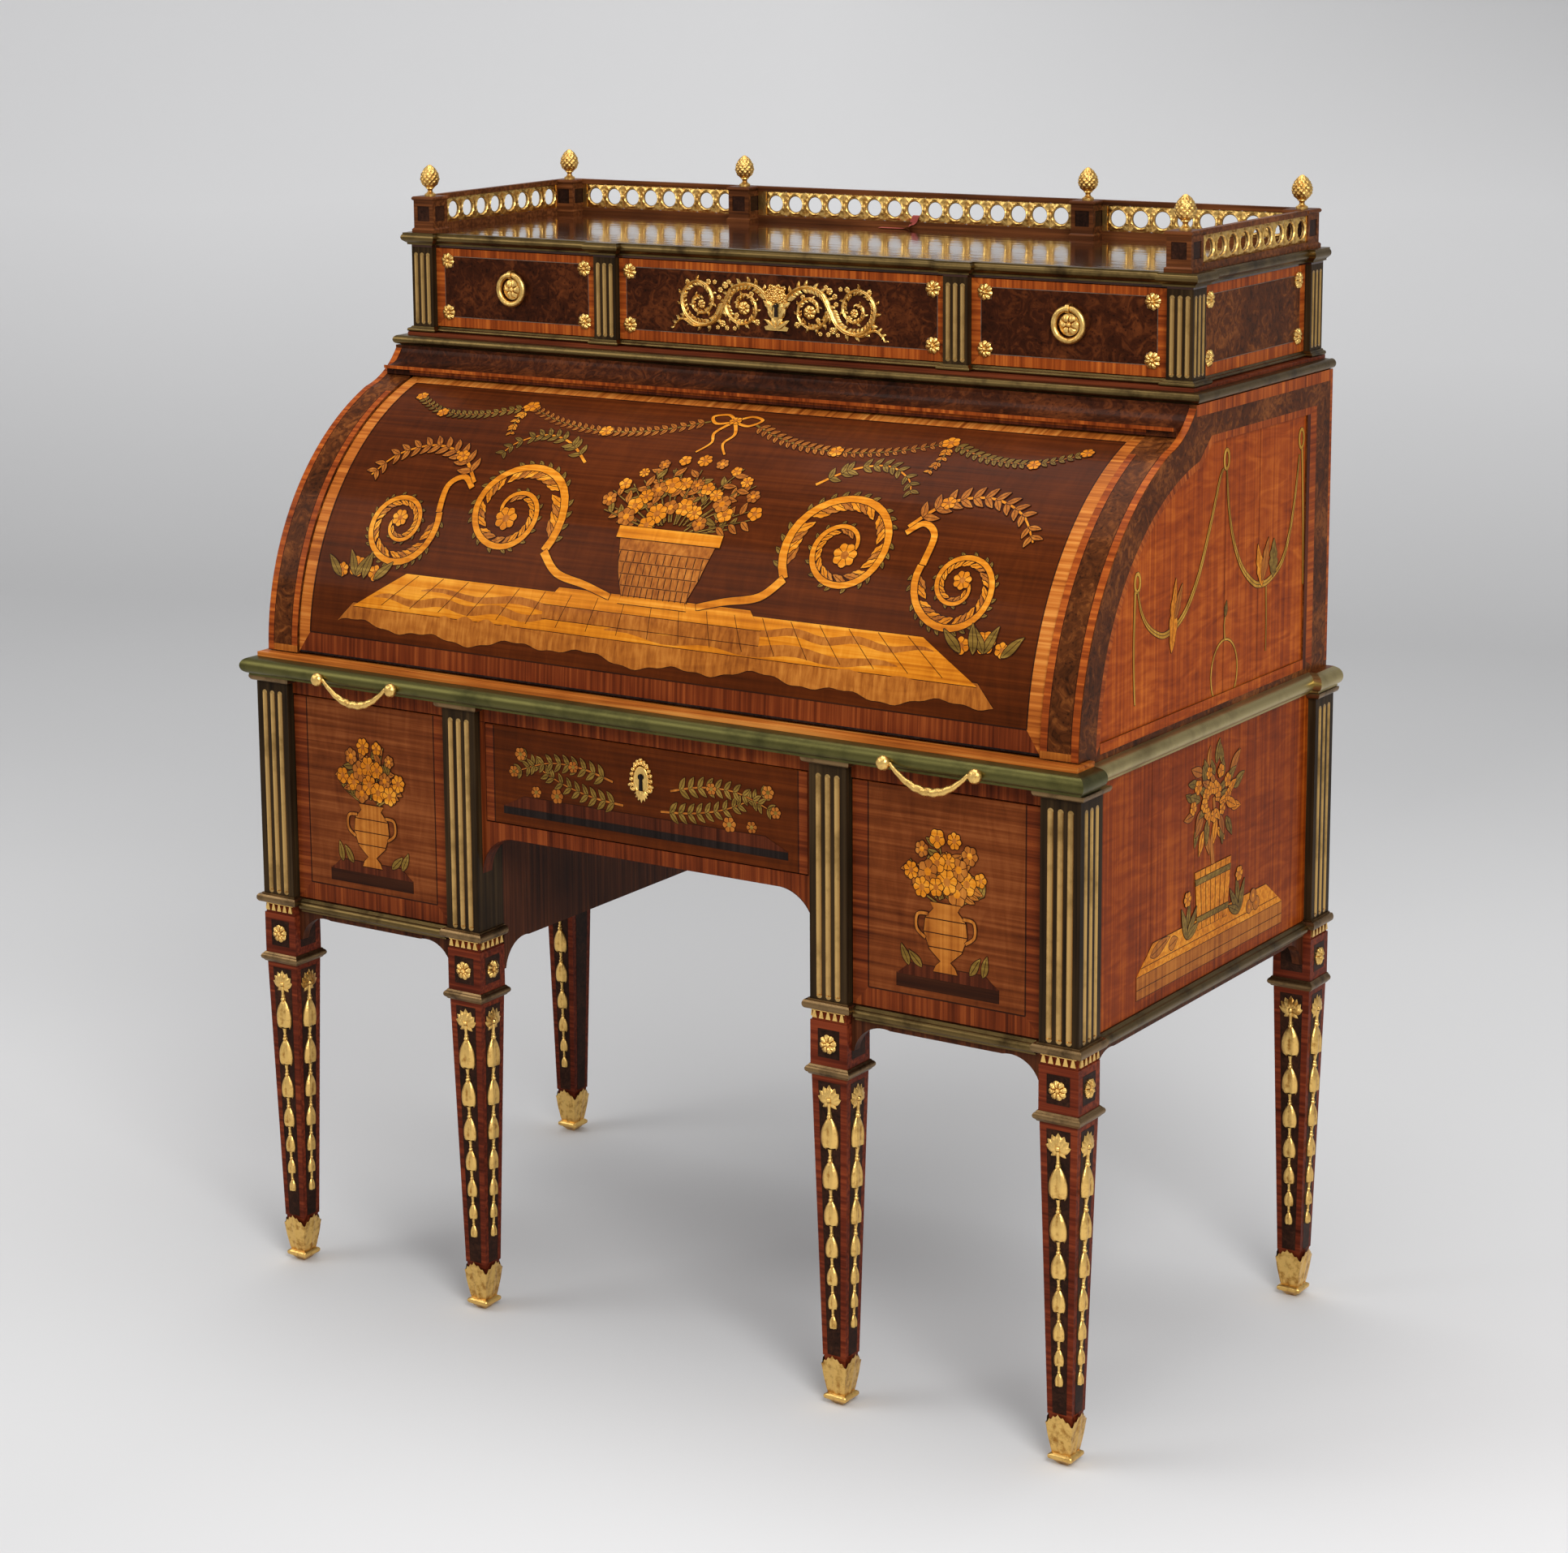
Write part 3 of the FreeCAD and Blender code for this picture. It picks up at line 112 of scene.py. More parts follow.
# ---- legs: centres and levels ----
LEG_X = high("posts_right", "x") - POST_HALF
LEG_INNER_X = KNEE_X + POST_HALF
LEG_FRONT_Y = POST_Y + POST_HALF
LEG_BACK_Y = BACK_Y - POST_HALF
LEGS = [(x, LEG_FRONT_Y) for x in (-LEG_X, -LEG_INNER_X, LEG_INNER_X, LEG_X)]
LEGS += [(x, LEG_BACK_Y) for x in (-LEG_X, LEG_X)]
SABOT_TOP = high("leg_sabots", "z")
SHAFT_TOP = low("leg_collars", "z")
SHAFT_LOW_HALF, SHAFT_TOP_HALF = 15, 23
LEAN = math.atan((SHAFT_TOP_HALF - SHAFT_LOW_HALF) / (SHAFT_TOP - SABOT_TOP))
BLOCK_LOW = high("leg_collars", "z")
BLOCK_TOP = BLOCK_LOW + 51

# ---- camera: the photograph's own ----
IMAGE_W, IMAGE_H = 1932.0, 1914.0
FOCAL_PX = 4409.4
PRINCIPAL = (760.0, 720.0)
YAW, PITCH, ROLL = (math.radians(angle) for angle in (35.69, -10.87, -0.88))
CAMERA_AT = Vector((2.28901, -3.51742, 1.68500))


def make_camera():
    data = bpy.data.cameras.new("camera")
    data.sensor_width = 36.0
    data.lens = FOCAL_PX * data.sensor_width / IMAGE_W
    data.shift_x = (IMAGE_W / 2 - PRINCIPAL[0]) / IMAGE_W
    data.shift_y = (PRINCIPAL[1] - IMAGE_H / 2) / IMAGE_W
    camera = bpy.data.objects.new("camera", data)
    bpy.context.scene.collection.objects.link(camera)
    ahead = Vector((-math.sin(YAW) * math.cos(PITCH), math.cos(YAW) * math.cos(PITCH), math.sin(PITCH)))
    level = Vector((math.cos(YAW), math.sin(YAW), 0))
    up = level.cross(ahead)
    right = level * math.cos(ROLL) + up * math.sin(ROLL)
    above = up * math.cos(ROLL) - level * math.sin(ROLL)
    turn = Matrix((right, above, -ahead)).transposed().to_4x4()
    camera.matrix_world = Matrix.Translation(CAMERA_AT) @ turn
    bpy.context.scene.camera = camera


# ---------------------------------------------------------------- materials

def linear(red, green, blue):
    """Linear colour of an 8-bit sRGB one."""
    channels = [value / 255 for value in (red, green, blue)]
    return tuple(c / 12.92 if c < 0.04045 else ((c + 0.055) / 1.055) ** 2.4 for c in channels) + (1.0,)


def node(tree, kind, settings=None, **inputs):
    """New shader node; inputs are sockets to join or plain values, by name with _ for a space."""
    made = tree.nodes.new("ShaderNode" + kind)
    for name, value in (settings or {}).items():
        setattr(made, name, value)
    for name, value in inputs.items():
        key = int(name[1:]) if name[0] == "i" and name[1:].isdigit() else name.replace("_", " ")
        if isinstance(value, bpy.types.NodeSocket):
            tree.links.new(value, made.inputs[key])
        else:
            made.inputs[key].default_value = value
    return made


def noise(tree, where, scale, **inputs):
    return node(tree, "TexNoise", Vector=where, Scale=scale, **inputs).outputs["Fac"]


def math_node(tree, operation, first, second=0.0):
    return node(tree, "Math", {"operation": operation}, i0=first, i1=second).outputs[0]


def blend(tree, share, first, second):
    return node(tree, "Mix", {"data_type": "FLOAT"}, i0=share, i2=first, i3=second).outputs[0]


def ramp(tree, value, **limits):
    return node(tree, "MapRange", Value=value, **limits).outputs[0]


def steps(tree, factor, stops):
    """Colour ramp through (place, sRGB colour) stops."""
    made = node(tree, "ValToRGB", i0=factor)
    elements = made.color_ramp.elements
    while len(elements) < len(stops):
        elements.new(0.5)
    for index, (place, colour) in enumerate(stops):
        elements[index].position = place
        elements[index].color = linear(*colour)
    return made.outputs["Color"]


def object_place(tree):
    return node(tree, "TexCoord").outputs["Object"]


def new_material(name, **values):
    """Material with plain values on its shader's sockets, by name with _ for a space."""
    material = bpy.data.materials.new(name)
    material.use_nodes = True
    tree = material.node_tree
    shader = tree.nodes["Principled BSDF"]
    for key, value in values.items():
        shader.inputs[key.replace("_", " ")].default_value = value
    return material, tree, shader


def grain_place(tree, along):
    """Object coordinates stretched so that noise runs in streaks along x, y, z or away from the roll's axis."""
    place = object_place(tree)
    long, cross = 4.0, 210.0
    if along in ("radial", "arc"):
        parts = node(tree, "SeparateXYZ", i0=place)
        y = math_node(tree, "SUBTRACT", parts.outputs["Y"], AXIS.y * MM)
        z = math_node(tree, "SUBTRACT", parts.outputs["Z"], AXIS.z * MM)
        turn = math_node(tree, "ARCTAN2", z, y)
        squares = math_node(tree, "ADD", math_node(tree, "MULTIPLY", y, y), math_node(tree, "MULTIPLY", z, z))
        arc = math_node(tree, "MULTIPLY", turn, ROLL_R * MM)
        place = node(tree, "CombineXYZ", i0=parts.outputs["X"], i1=math_node(tree, "SQRT", squares),
                     i2=arc).outputs[0]
        along = "y" if along == "radial" else "z"
    scale = [long if axis == along else cross for axis in "xyz"]
    return node(tree, "Mapping", Vector=place, Scale=scale).outputs[0]


def polished(name):
    """Material with little plain shine and a thin warm coat."""
    return new_material(name, Specular_IOR_Level=0.045, Specular_Tint=(1.0, 0.62, 0.36, 1.0),
                        Coat_Weight=0.045, Coat_Roughness=0.1, Coat_Tint=(1.0, 0.93, 0.84, 1.0))


def finish_wood(tree, shader, level, colours, height, gloss, bump):
    """Colour by a level from 0 to 1, roughness that varies with the grain, and a little relief."""
    tree.links.new(steps(tree, level, list(zip((0.34, 0.5, 0.66), colours))), shader.inputs["Base Color"])
    rough = ramp(tree, height, To_Min=gloss - 0.05, To_Max=gloss + 0.12)
    tree.links.new(rough, shader.inputs["Roughness"])
    relief = node(tree, "Bump", Strength=bump, Distance=0.0004, Height=height)
    tree.links.new(relief.outputs[0], shader.inputs["Normal"])


def wood(name, colours, along, figure=0.0, gloss=0.36, bump=0.25):
    """Straight-grained veneer; figure adds ripples across the grain, as fiddleback wood has."""
    material, tree, shader = polished(name)
    streak = noise(tree, grain_place(tree, along), 1.0, Detail=4.0, Roughness=0.52, Distortion=0.3)
    where = object_place(tree)
    level = blend(tree, 0.35, streak, noise(tree, where, 9.0, Detail=3.0))
    if figure:
        scale = [64.0 if axis == along else 15.0 for axis in "xyz"]
        across = node(tree, "Mapping", Vector=where, Scale=scale).outputs[0]
        level = blend(tree, figure, level, noise(tree, across, 1.0, Detail=3.0, Distortion=1.4))
    finish_wood(tree, shader, level, colours, streak, gloss, bump)
    return material


def burl(name, colours, scale=60.0):
    """Burl veneer: curling cloudy figure with small dark eyes."""
    material, tree, shader = polished(name)
    where = object_place(tree)
    cloud = noise(tree, where, scale, Detail=7.0, Roughness=0.6, Distortion=1.8)
    both = blend(tree, 0.4, cloud, noise(tree, where, scale / 5, Detail=2.0))
    eyes = node(tree, "TexVoronoi", Vector=where, Scale=scale * 3).outputs["Distance"]
    pits = ramp(tree, eyes, From_Min=0.05, From_Max=0.30, To_Min=-0.12, To_Max=0.0)
    finish_wood(tree, shader, math_node(tree, "ADD", both, pits), colours, cloud, 0.34, 0.2)
    return material


def metal(name, clean, worn, rough, scale, hollow=0.0, chased=0.0):
    """Bronze or brass: tarnish in patches, darker hollows, fine unevenness and chasing."""
    material, tree, shader = new_material(name, Metallic=1.0)
    where = object_place(tree)
    level = patch = noise(tree, where, scale, Detail=5.0, Roughness=0.65)
    if hollow:
        bend = node(tree, "NewGeometry").outputs["Pointiness"]
        level = math_node(tree, "ADD", patch, ramp(tree, bend, From_Min=0.40, From_Max=0.52, To_Min=-hollow,
                                                   To_Max=0.06))
    tree.links.new(steps(tree, level, [(0.30, worn), (0.52, clean)]), shader.inputs["Base Color"])
    spread = ramp(tree, patch, To_Min=rough + 0.12, To_Max=rough - 0.06)
    tree.links.new(spread, shader.inputs["Roughness"])
    relief = node(tree, "Bump", Strength=0.3, Distance=0.0003, Height=noise(tree, where, 900.0, Detail=3.0))
    if chased:
        cuts = node(tree, "TexVoronoi", {"feature": "SMOOTH_F1"}, Vector=where, Scale=420.0)
        deep = node(tree, "Bump", Strength=chased, Distance=0.0012, Height=cuts.outputs["Distance"])
        tree.links.new(deep.outputs[0], relief.inputs["Normal"])
    tree.links.new(relief.outputs[0], shader.inputs["Normal"])
    return material


# dark, middle and light colour of each wood
TULIP = ((92, 36, 13), (142, 64, 22), (186, 98, 36))
TULIP_LIGHT = ((118, 54, 17), (176, 98, 36), (210, 138, 64))
TULIP_DARK = ((64, 24, 10), (104, 44, 18), (142, 70, 30))
OAK = ((120, 88, 54), (150, 114, 72), (176, 140, 96))

# colours, the grain's direction, then figure, gloss and bump where they differ
WOODS = {
    "tulip_x": (TULIP, "x"),
    "tulip_y": (TULIP, "y"),
    "tulip_z": (TULIP, "z"),
    "tulip_radial": (TULIP, "radial"),
    "tulip_light_x": (TULIP_LIGHT, "x"),
    "tulip_light_arc": (TULIP_LIGHT, "arc"),
    "tulip_dark_x": (TULIP_DARK, "x"),
    "tulip_dark_z": (TULIP_DARK, "z"),
    "tulip_dark_arc": (TULIP_DARK, "arc"),
    "maple": (((104, 37, 8), (150, 64, 14), (190, 98, 30)), "z", 0.36),
    # The lower sides' maple is painted darker: painted shade for the light falling off over the lower sides.
    "maple_low": (((84, 29, 5), (128, 51, 9), (170, 84, 22)), "z", 0.26),
    "ground_x": (((56, 22, 5), (76, 31, 7), (96, 42, 11)), "x", 0.2),
    "ground_low": (((72, 31, 12), (106, 51, 21), (136, 74, 36)), "x", 0.2),
    "rosewood": (((44, 18, 10), (74, 32, 17), (100, 46, 24)), "z"),
    "rose_cross": (((58, 20, 11), (94, 36, 20), (128, 56, 30)), "x"),
    "walnut": (((42, 20, 12), (70, 36, 20), (98, 52, 28)), "z"),
    "ebony": (((24, 17, 10), (43, 31, 18), (64, 48, 28)), "z"),
    # black also serves as painted shade: at the keyholes and along the roll's lower edge.
    "black": (((18, 14, 13), (30, 23, 21), (44, 34, 30)), "z", 0.0, 0.42),
    "amber": (((160, 84, 14), (204, 122, 26), (232, 160, 54)), "x", 0.2),
    "honey": (((118, 60, 20), (160, 92, 32), (190, 120, 48)), "z", 0.2),
    "cord": (((134, 92, 26), (180, 130, 44), (212, 164, 70)), "z"),
    "moss": (((84, 62, 22), (118, 90, 36), (150, 118, 52)), "x"),
    "line": (((30, 14, 9), (46, 22, 12), (60, 30, 16)), "x"),
    "oak": (OAK, "x", 0.0, 0.55),
    "oak_side": (OAK, "y", 0.0, 0.55),
    "hide": (((122, 52, 48), (158, 76, 68), (182, 104, 94)), "x", 0.0, 0.6),
    "rail": (((50, 26, 14), (88, 48, 24), (124, 72, 38)), "x"),
    "mahogany": (((60, 24, 14), (92, 40, 22), (120, 58, 32)), "x"),
    "top": (((34, 18, 12), (56, 30, 19), (84, 46, 28)), "x", 0.0, 0.12, 0.05),
}
BURLS = {
    "burl": (((28, 12, 7), (56, 25, 12), (98, 49, 22)),),
    "burl_light": (((40, 19, 8), (80, 40, 16), (130, 73, 31)),),
    "panel": (((24, 14, 10), (42, 24, 17), (62, 36, 24)), 110.0),
}
# clean and worn colour, roughness, scale of the tarnish, then hollows and chasing
METALS = {
    "brass": ((106, 86, 50), (62, 48, 28), 0.32, 30.0),
    # The front moulding's brass: green patina, darkened as painted shade; the side moulding's brass below is the same
    # brass painted lighter, for the light that falls on the sides.
    "brass_front": ((96, 91, 50), (66, 64, 35), 0.38, 16.0),
    "brass_side": ((178, 160, 108), (136, 119, 74), 0.33, 12.0),
    "brass_light": ((190, 152, 92), (140, 109, 62), 0.3, 22.0),
    "bronze": ((132, 105, 70), (70, 53, 35), 0.36, 34.0),
    "gilt": ((234, 191, 110), (172, 121, 55), 0.33, 110.0, 0.42, 0.2),
    "iron": ((96, 92, 88), (56, 50, 46), 0.45, 60.0),
    "pewter": ((134, 114, 98), (84, 68, 56), 0.35, 60.0),
}
MATERIALS = {name: make(name, *values) for make, table in ((wood, WOODS), (burl, BURLS), (metal, METALS))
             for name, values in table.items()}


def wave_top():
    """Thick polish on the top, slightly wavy from front to back."""
    tree = MATERIALS["top"].node_tree
    shader = tree.nodes["Principled BSDF"]
    shader.inputs["Coat Weight"].default_value = 1.0
    shader.inputs["Coat Roughness"].default_value = 0.08
    place = node(tree, "Mapping", Vector=object_place(tree), Scale=(14.0, 90.0, 1.0)).outputs[0]
    bent = node(tree, "Bump", Strength=0.5, Distance=0.0006, Height=noise(tree, place, 1.0, Detail=1.0))
    tree.links.new(bent.outputs[0], shader.inputs["Coat Normal"])


# ---------------------------------------------------------------- shapes: (points, faces)

def polar(reach, turn):
    return reach * math.cos(turn), reach * math.sin(turn)


def circle(count):
    return [math.tau * step / count for step in range(count)]


def joined(shapes):
    points, faces = [], []
    for more_points, more_faces in shapes:
        base = len(points)
        points.extend(more_points)
        faces.extend(tuple(base + index for index in face) for face in more_faces)
    return points, faces


def placed(shape, place):
    return [place(point) for point in shape[0]], shape[1]


def skin(rows, ring=False):
    """Quads between rows of points; ring closes each row on itself."""
    count = len(rows[0])
    faces = []
    for row in range(len(rows) - 1):
        for column in range(count if ring else count - 1):
            after = (column + 1) % count
            faces.append((row * count + column, row * count + after,
                          (row + 1) * count + after, (row + 1) * count + column))
    return [point for row in rows for point in row], faces


def facing(origin, degrees=0.0, lean=0.0):
    """Places (u, v, w) on a wall: u to the right, v up, w out of it; 0 degrees faces the front."""
    turn = math.radians(degrees)
    right = Vector((math.cos(turn), math.sin(turn), 0))
    out = Vector((math.sin(turn), -math.cos(turn), 0))
    up = out * math.sin(lean) + Vector((0, 0, 1)) * math.cos(lean)
    normal = right.cross(up)
    start = Vector(origin)
    return lambda p: start + right * p[0] + up * p[1] + normal * p[2]


def front_wall(y):
    return facing((0, y, 0))


def side_wall(side, x):
    """Outer side of the desk; u runs to the rear on the right and to the front on the left."""
    return facing((side * x, 0, 0), 90 * side)


def post_face(cx, cy, z, degrees, half, lean=0.0):
    """Face of an upright square post, its origin on the middle of the face."""
    turn = math.radians(degrees)
    return facing((cx + half * math.sin(turn), cy - half * math.cos(turn), z), degrees, lean)


def on_roll(radius):
    """Places (u, v, w) on the cylinder's facets: u along it, v the arc's length up from level."""
    def spot(step, p):
        back, up = polar(radius + p[2], step * ROLL_STEP / radius)
        return Vector((p[0], AXIS.y - back, AXIS.z + up))

    def place(p):
        step = math.floor(p[1] / ROLL_STEP + 1e-6)
        return spot(step, p).lerp(spot(step + 1, p), p[1] / ROLL_STEP - step)
    return place


def turned(shape, degrees=0.0, shift=(0, 0, 0), flip=False, size=1.0):
    """Shape turned, mirrored and moved within its own plane."""
    turn = math.radians(degrees)
    side = -1 if flip else 1

    def place(p):
        u, v = p[0] * size * side, p[1] * size
        return (u * math.cos(turn) - v * math.sin(turn) + shift[0],
                u * math.sin(turn) + v * math.cos(turn) + shift[1],
                (p[2] if len(p) > 2 else 0.0) * size + shift[2])
    return placed(shape, place)


def add(name, shape, material, body="desk", smooth=True):
    """Mesh piece of the scene with its material, riding on a CAD body."""
    mesh = bpy.data.meshes.new(name)
    mesh.from_pydata([tuple(value * MM for value in point) for point in shape[0]], [], shape[1])
    work = bmesh.new()
    work.from_mesh(mesh)
    bmesh.ops.remove_doubles(work, verts=work.verts, dist=1e-6)
    bmesh.ops.recalc_face_normals(work, faces=work.faces)
    work.to_mesh(mesh)
    work.free()
    mesh.materials.append(MATERIALS[material])
    for polygon in mesh.polygons:
        polygon.use_smooth = smooth
    if smooth:
        mesh.set_sharp_from_angle(angle=math.radians(55))
    piece = bpy.data.objects.new(name, mesh)
    bpy.context.scene.collection.objects.link(piece)
    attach(piece, body)
    return piece


def relief(rim, height, rings=8, spokes=40):
    """Raised ornament on a polar grid: rim(angle) bounds it and height(t, angle) is its rise."""
    angles = circle(spokes)
    rows = []
    for ring in range(rings + 1):
        t = 0.04 + 0.96 * ring / rings
        rows.append([polar(rim(a) * t, a) + (height(t, a),) for a in angles])
    rows.append([polar(rim(a), a) + (0.0,) for a in angles])
    points, faces = skin(rows, ring=True)
    return points, faces + [tuple(range(spokes))]


def flower(radius, lobes, rise):
    def rim(a):
        return radius * (0.84 + 0.16 * abs(math.cos(lobes * a / 2)) ** 0.7)

    def height(t, a):
        petal = abs(math.cos(lobes * a / 2)) ** 0.6
        if t < 0.24:
            return rise * (0.62 + 0.38 * math.cos(math.pi / 2 * t / 0.24))
        swell = math.sin(math.pi * min(1.0, (t - 0.2) / 0.8) ** 0.8)
        return rise * (0.28 + 0.5 * petal * swell + 0.08 * math.cos(3 * lobes * a) * t)
    return relief(rim, height, spokes=lobes * 8)


def drop(radius, rise=0.8):
    """Small round bead."""
    return relief(lambda a: radius, lambda t, a: radius * rise * math.sqrt(max(0.0, 1 - t * t)), 4, 12)


def blade(length, width, rise, bend=0.0):
    """Pointed leaf with a sunk midrib, from the origin along +u."""
    rows = []
    for step in range(9):
        t = step / 8
        half = width / 2 * math.sin(math.pi * t ** 0.75) + 0.1
        centre = bend * length * math.sin(math.pi * t / 2) ** 2
        crest = rise * math.sin(math.pi * min(1, t + 0.1))
        rows.append([(length * t, centre + half * across, crest * (1 - across * across) * (1.0 if across else 0.7))
                     for across in (-1, -0.5, 0, 0.5, 1)])
    return skin(rows)


def palmette(radius, rise):
    """Fan of ribbed leaves over a small eye."""
    leaves = [relief(lambda a: 3.2, lambda t, a: rise * (1 - 0.5 * t * t), 4, 12)]
    for step in range(7):
        across = (step - 3) / 3
        length = radius * (0.92 - 0.18 * abs(across))
        shape = blade(length, radius * 0.56, rise * 0.8, -0.12 * across)
        leaves.append(turned(shape, 90 - 68 * across, (0, -0.1 * radius, 0.3)))
    for side in (-1, 1):
        leaves.append(turned(blade(radius * 0.55, radius * 0.34, rise * 0.6, 0.2 * side), 90 + side * 118,
                             (0, -0.1 * radius, 0)))
    return joined(leaves)


def husk(length, width, rise):
    """Ribbed bell with round shoulders, hung from the origin, its lower edge lobed."""
    rows = []
    count, last = 12, 10
    for step in range(last + 1):
        t = step / last
        open_out = 0.16 + 0.84 * math.sin(math.pi / 2 * min(t / 0.62, 1)) ** 0.75
        half = width / 2 * open_out * (1 - 0.34 * max(0.0, (t - 0.74) / 0.26) ** 2)
        row = []
        for index in range(count + 1):
            turn = math.pi * index / count
            rib = 1 + 0.17 * math.cos(6 * turn) * min(1.0, 3 * t)
            lobe = 0.15 * abs(math.cos(1.5 * turn)) if step == last else 0.0
            row.append((-half * math.cos(turn), -length * (t - lobe),
                        rise * math.sin(turn) ** 0.7 * open_out * rib * (0.4 if step == last else 1)))
        rows.append(row)
    rows.append([(p[0] * 0.92, p[1] + length * 0.02, 0.0) for p in rows[-1]])
    return skin(rows)


def normals(path, closed=False):
    """Each point (u, v) of a plane path with the unit normal to its left."""
    last = len(path) - 1
    for index, (u, v) in enumerate(path):
        before = path[index - 1 if closed else max(index - 1, 0)]
        after = path[(index + 1) % len(path) if closed else min(index + 1, last)]
        du, dv = after[0] - before[0], after[1] - before[1]
        size = math.hypot(du, dv) or 1.0
        yield u, v, -dv / size, du / size


def marks(path, first, spacing, skip=1):
    """Index, point and heading in degrees wherever a path has run on by the spacing."""
    run, wait = 0.0, first
    for index in range(1, len(path)):
        (u0, v0), (u1, v1) = path[index - 1], path[index]
        run += math.hypot(u1 - u0, v1 - v0)
        if run >= wait and index >= skip:
            wait += spacing
            yield index, (u1, v1), math.degrees(math.atan2(v1 - v0, u1 - u0))


def taper(count, thick, thin):
    return [thick + (thin - thick) * step / (count - 1) for step in range(count)]


def tube(path, radii, flat=1.0, sides=8):
    """Rounded stem along points of a plane; radii and path have the same length."""
    rows = []
    for (u, v, across_u, across_v), radius in zip(normals(path), radii):
        row = []
        for step in range(sides + 1):
            reach, rise = polar(radius, math.pi * step / sides)
            row.append((u + across_u * reach, v + across_v * reach, rise * flat))
        rows.append(row)
    return skin(rows)


def smooth_path(points, count=8):
    """Catmull-Rom line through points."""
    path = []
    ends = [points[0]] + list(points) + [points[-1]]
    for a, b, c, d in zip(ends, ends[1:], ends[2:], ends[3:]):
        for step in range(count):
            t = step / count
            path.append(tuple(0.5 * (2 * q + (r - p) * t + (2 * p - 5 * q + 4 * r - s) * t * t
                                     + (3 * q - p - 3 * r + s) * t ** 3) for p, q, r, s in zip(a, b, c, d)))
    return path + [tuple(points[-1])]


def spiral(centre, radius, start, turns, shrink, count):
    """Points that wind in towards a centre; start in degrees, turns may be negative."""
    points = []
    for t in taper(count + 1, 0.0, 1.0):
        u, v = polar(radius * (1 - shrink * t), math.radians(start) + math.tau * turns * t)
        points.append((centre[0] + u, centre[1] + v))
    return points


# ---------------------------------------------------------------- veneer sheets: (material, outline, layer)

def flat_shape(outline, rise, cut=None):
    """Thin sheet over a plane outline, its rim turned down; cut limits its size for bent grounds."""
    work = bmesh.new()
    face = work.faces.new([work.verts.new((u, v, rise)) for u, v in outline])
    face.normal_update()
    bmesh.ops.triangulate(work, faces=[face])
    if cut:
        heights = [v for _, v in outline]
        line = cut * math.ceil(min(heights) / cut + 0.01)
        while line < max(heights):
            everything = work.verts[:] + work.edges[:] + work.faces[:]
            bmesh.ops.bisect_plane(work, geom=everything, plane_co=(0, line, 0), plane_no=(0, 1, 0))
            line += cut
    edges = [edge for edge in work.edges if edge.is_boundary]
    for item in bmesh.ops.extrude_edge_only(work, edges=edges)["geom"]:
        if isinstance(item, bmesh.types.BMVert):
            item.co.z = 0.0
    work.verts.index_update()
    points = [tuple(vert.co) for vert in work.verts]
    faces = [tuple(vert.index for vert in item.verts) for item in work.faces]
    work.free()
    return points, faces


def veneers(name, body, place, sheets, cut=None):
    """One piece per material; each sheet lies over those it overlaps."""
    groups, laid = {}, []
    for material, outline, layer in sheets:
        us, vs = zip(*outline)
        box = (min(us), min(vs), -max(us), -max(vs))
        under = [rise for other, rise in laid
                 if box[0] < -other[2] and box[1] < -other[3] and other[0] < -box[2] and other[1] < -box[3]]
        rise = max([layer * 0.6 * BAND] + [lower + STACK for lower in under])
        laid.append((box, rise))
        groups.setdefault(material, []).append(placed(flat_shape(outline, BAND + rise, cut), place))
    for material, shapes in groups.items():
        add(name + "_" + material, joined(shapes), material, body, smooth=bool(cut))


def rectangle(u0, u1, v0, v1):
    return [(u0, v0), (u1, v0), (u1, v1), (u0, v1)]


def notched(u0, u1, v0, v1, notch):
    """Rectangle with square notches at its corners."""
    return [(u0 + notch, v0), (u1 - notch, v0), (u1 - notch, v0 + notch), (u1, v0 + notch),
            (u1, v1 - notch), (u1 - notch, v1 - notch), (u1 - notch, v1), (u0 + notch, v1),
            (u0 + notch, v1 - notch), (u0, v1 - notch), (u0, v0 + notch), (u0 + notch, v0 + notch)]


def stroke(path, widths):
    """Outline of a band along a path; widths holds one half width for each point."""
    left, right = [], []
    for (u, v, across_u, across_v), half in zip(normals(path), widths):
        left.append((u + across_u * half, v + across_v * half))
        right.append((u - across_u * half, v - across_v * half))
    return left + right[::-1]


def border(outer, inner, below, above, upright):
    """Four mitred strips between two rectangles (u0, u1, v0, v1): below, above, left and right."""
    (a, b, c, d), (e, f, g, h) = outer, inner
    return [(below, [(a, c), (b, c), (f, g), (e, g)], 0), (above, [(e, h), (f, h), (b, d), (a, d)], 0),
            (upright, [(a, c), (e, g), (e, h), (a, d)], 0), (upright, [(f, g), (b, c), (b, d), (f, h)], 0)]


def stringing(corners):
    """Thin dark line along straight edges."""
    return [("line", stroke(ends, (LINE, LINE)), 1) for ends in zip(corners, corners[1:])]


def mirrored(sheets, side, shift=(0.0, 0.0), tall=1.0):
    """Sheets mirrored in u where side is -1, stretched in v and moved."""
    return [(material, [(shift[0] + side * u, shift[1] + tall * v) for u, v in outline], layer)
            for material, outline, layer in sheets]


# ---------------------------------------------------------------- legs

def husk_chain():
    """Palmette, stem and seven graduated husks, hung from the origin."""
    at, last = -38, 6
    parts = [turned(palmette(21, 5), shift=(0, -17, 0)), tube([(0, -20), (0, -29), (0, at)], [2.6, 1.9, 2.6], 1.4)]
    for step in range(last + 1):
        length, width = 37.6 - 3.6 * step, 22.6 - 2.1 * step
        share = 1 - 0.07 * step
        for lift, radius in ((1, 3.4), (5, 2.6)):
            parts.append(turned(drop(radius * share, 1.3), shift=(0, at + lift, 0)))
        parts.append(turned(husk(length, width, 6 * share), shift=(0, at, 0)))
        at -= length
        if step < last:
            neck = 14 - 1.3 * step
            parts.append(tube([(0, at + 1), (0, at - neck / 2), (0, at - neck)], [2.8 * share, 1.6, 2.4 * share], 1.3))
            at -= neck
    return joined(parts)


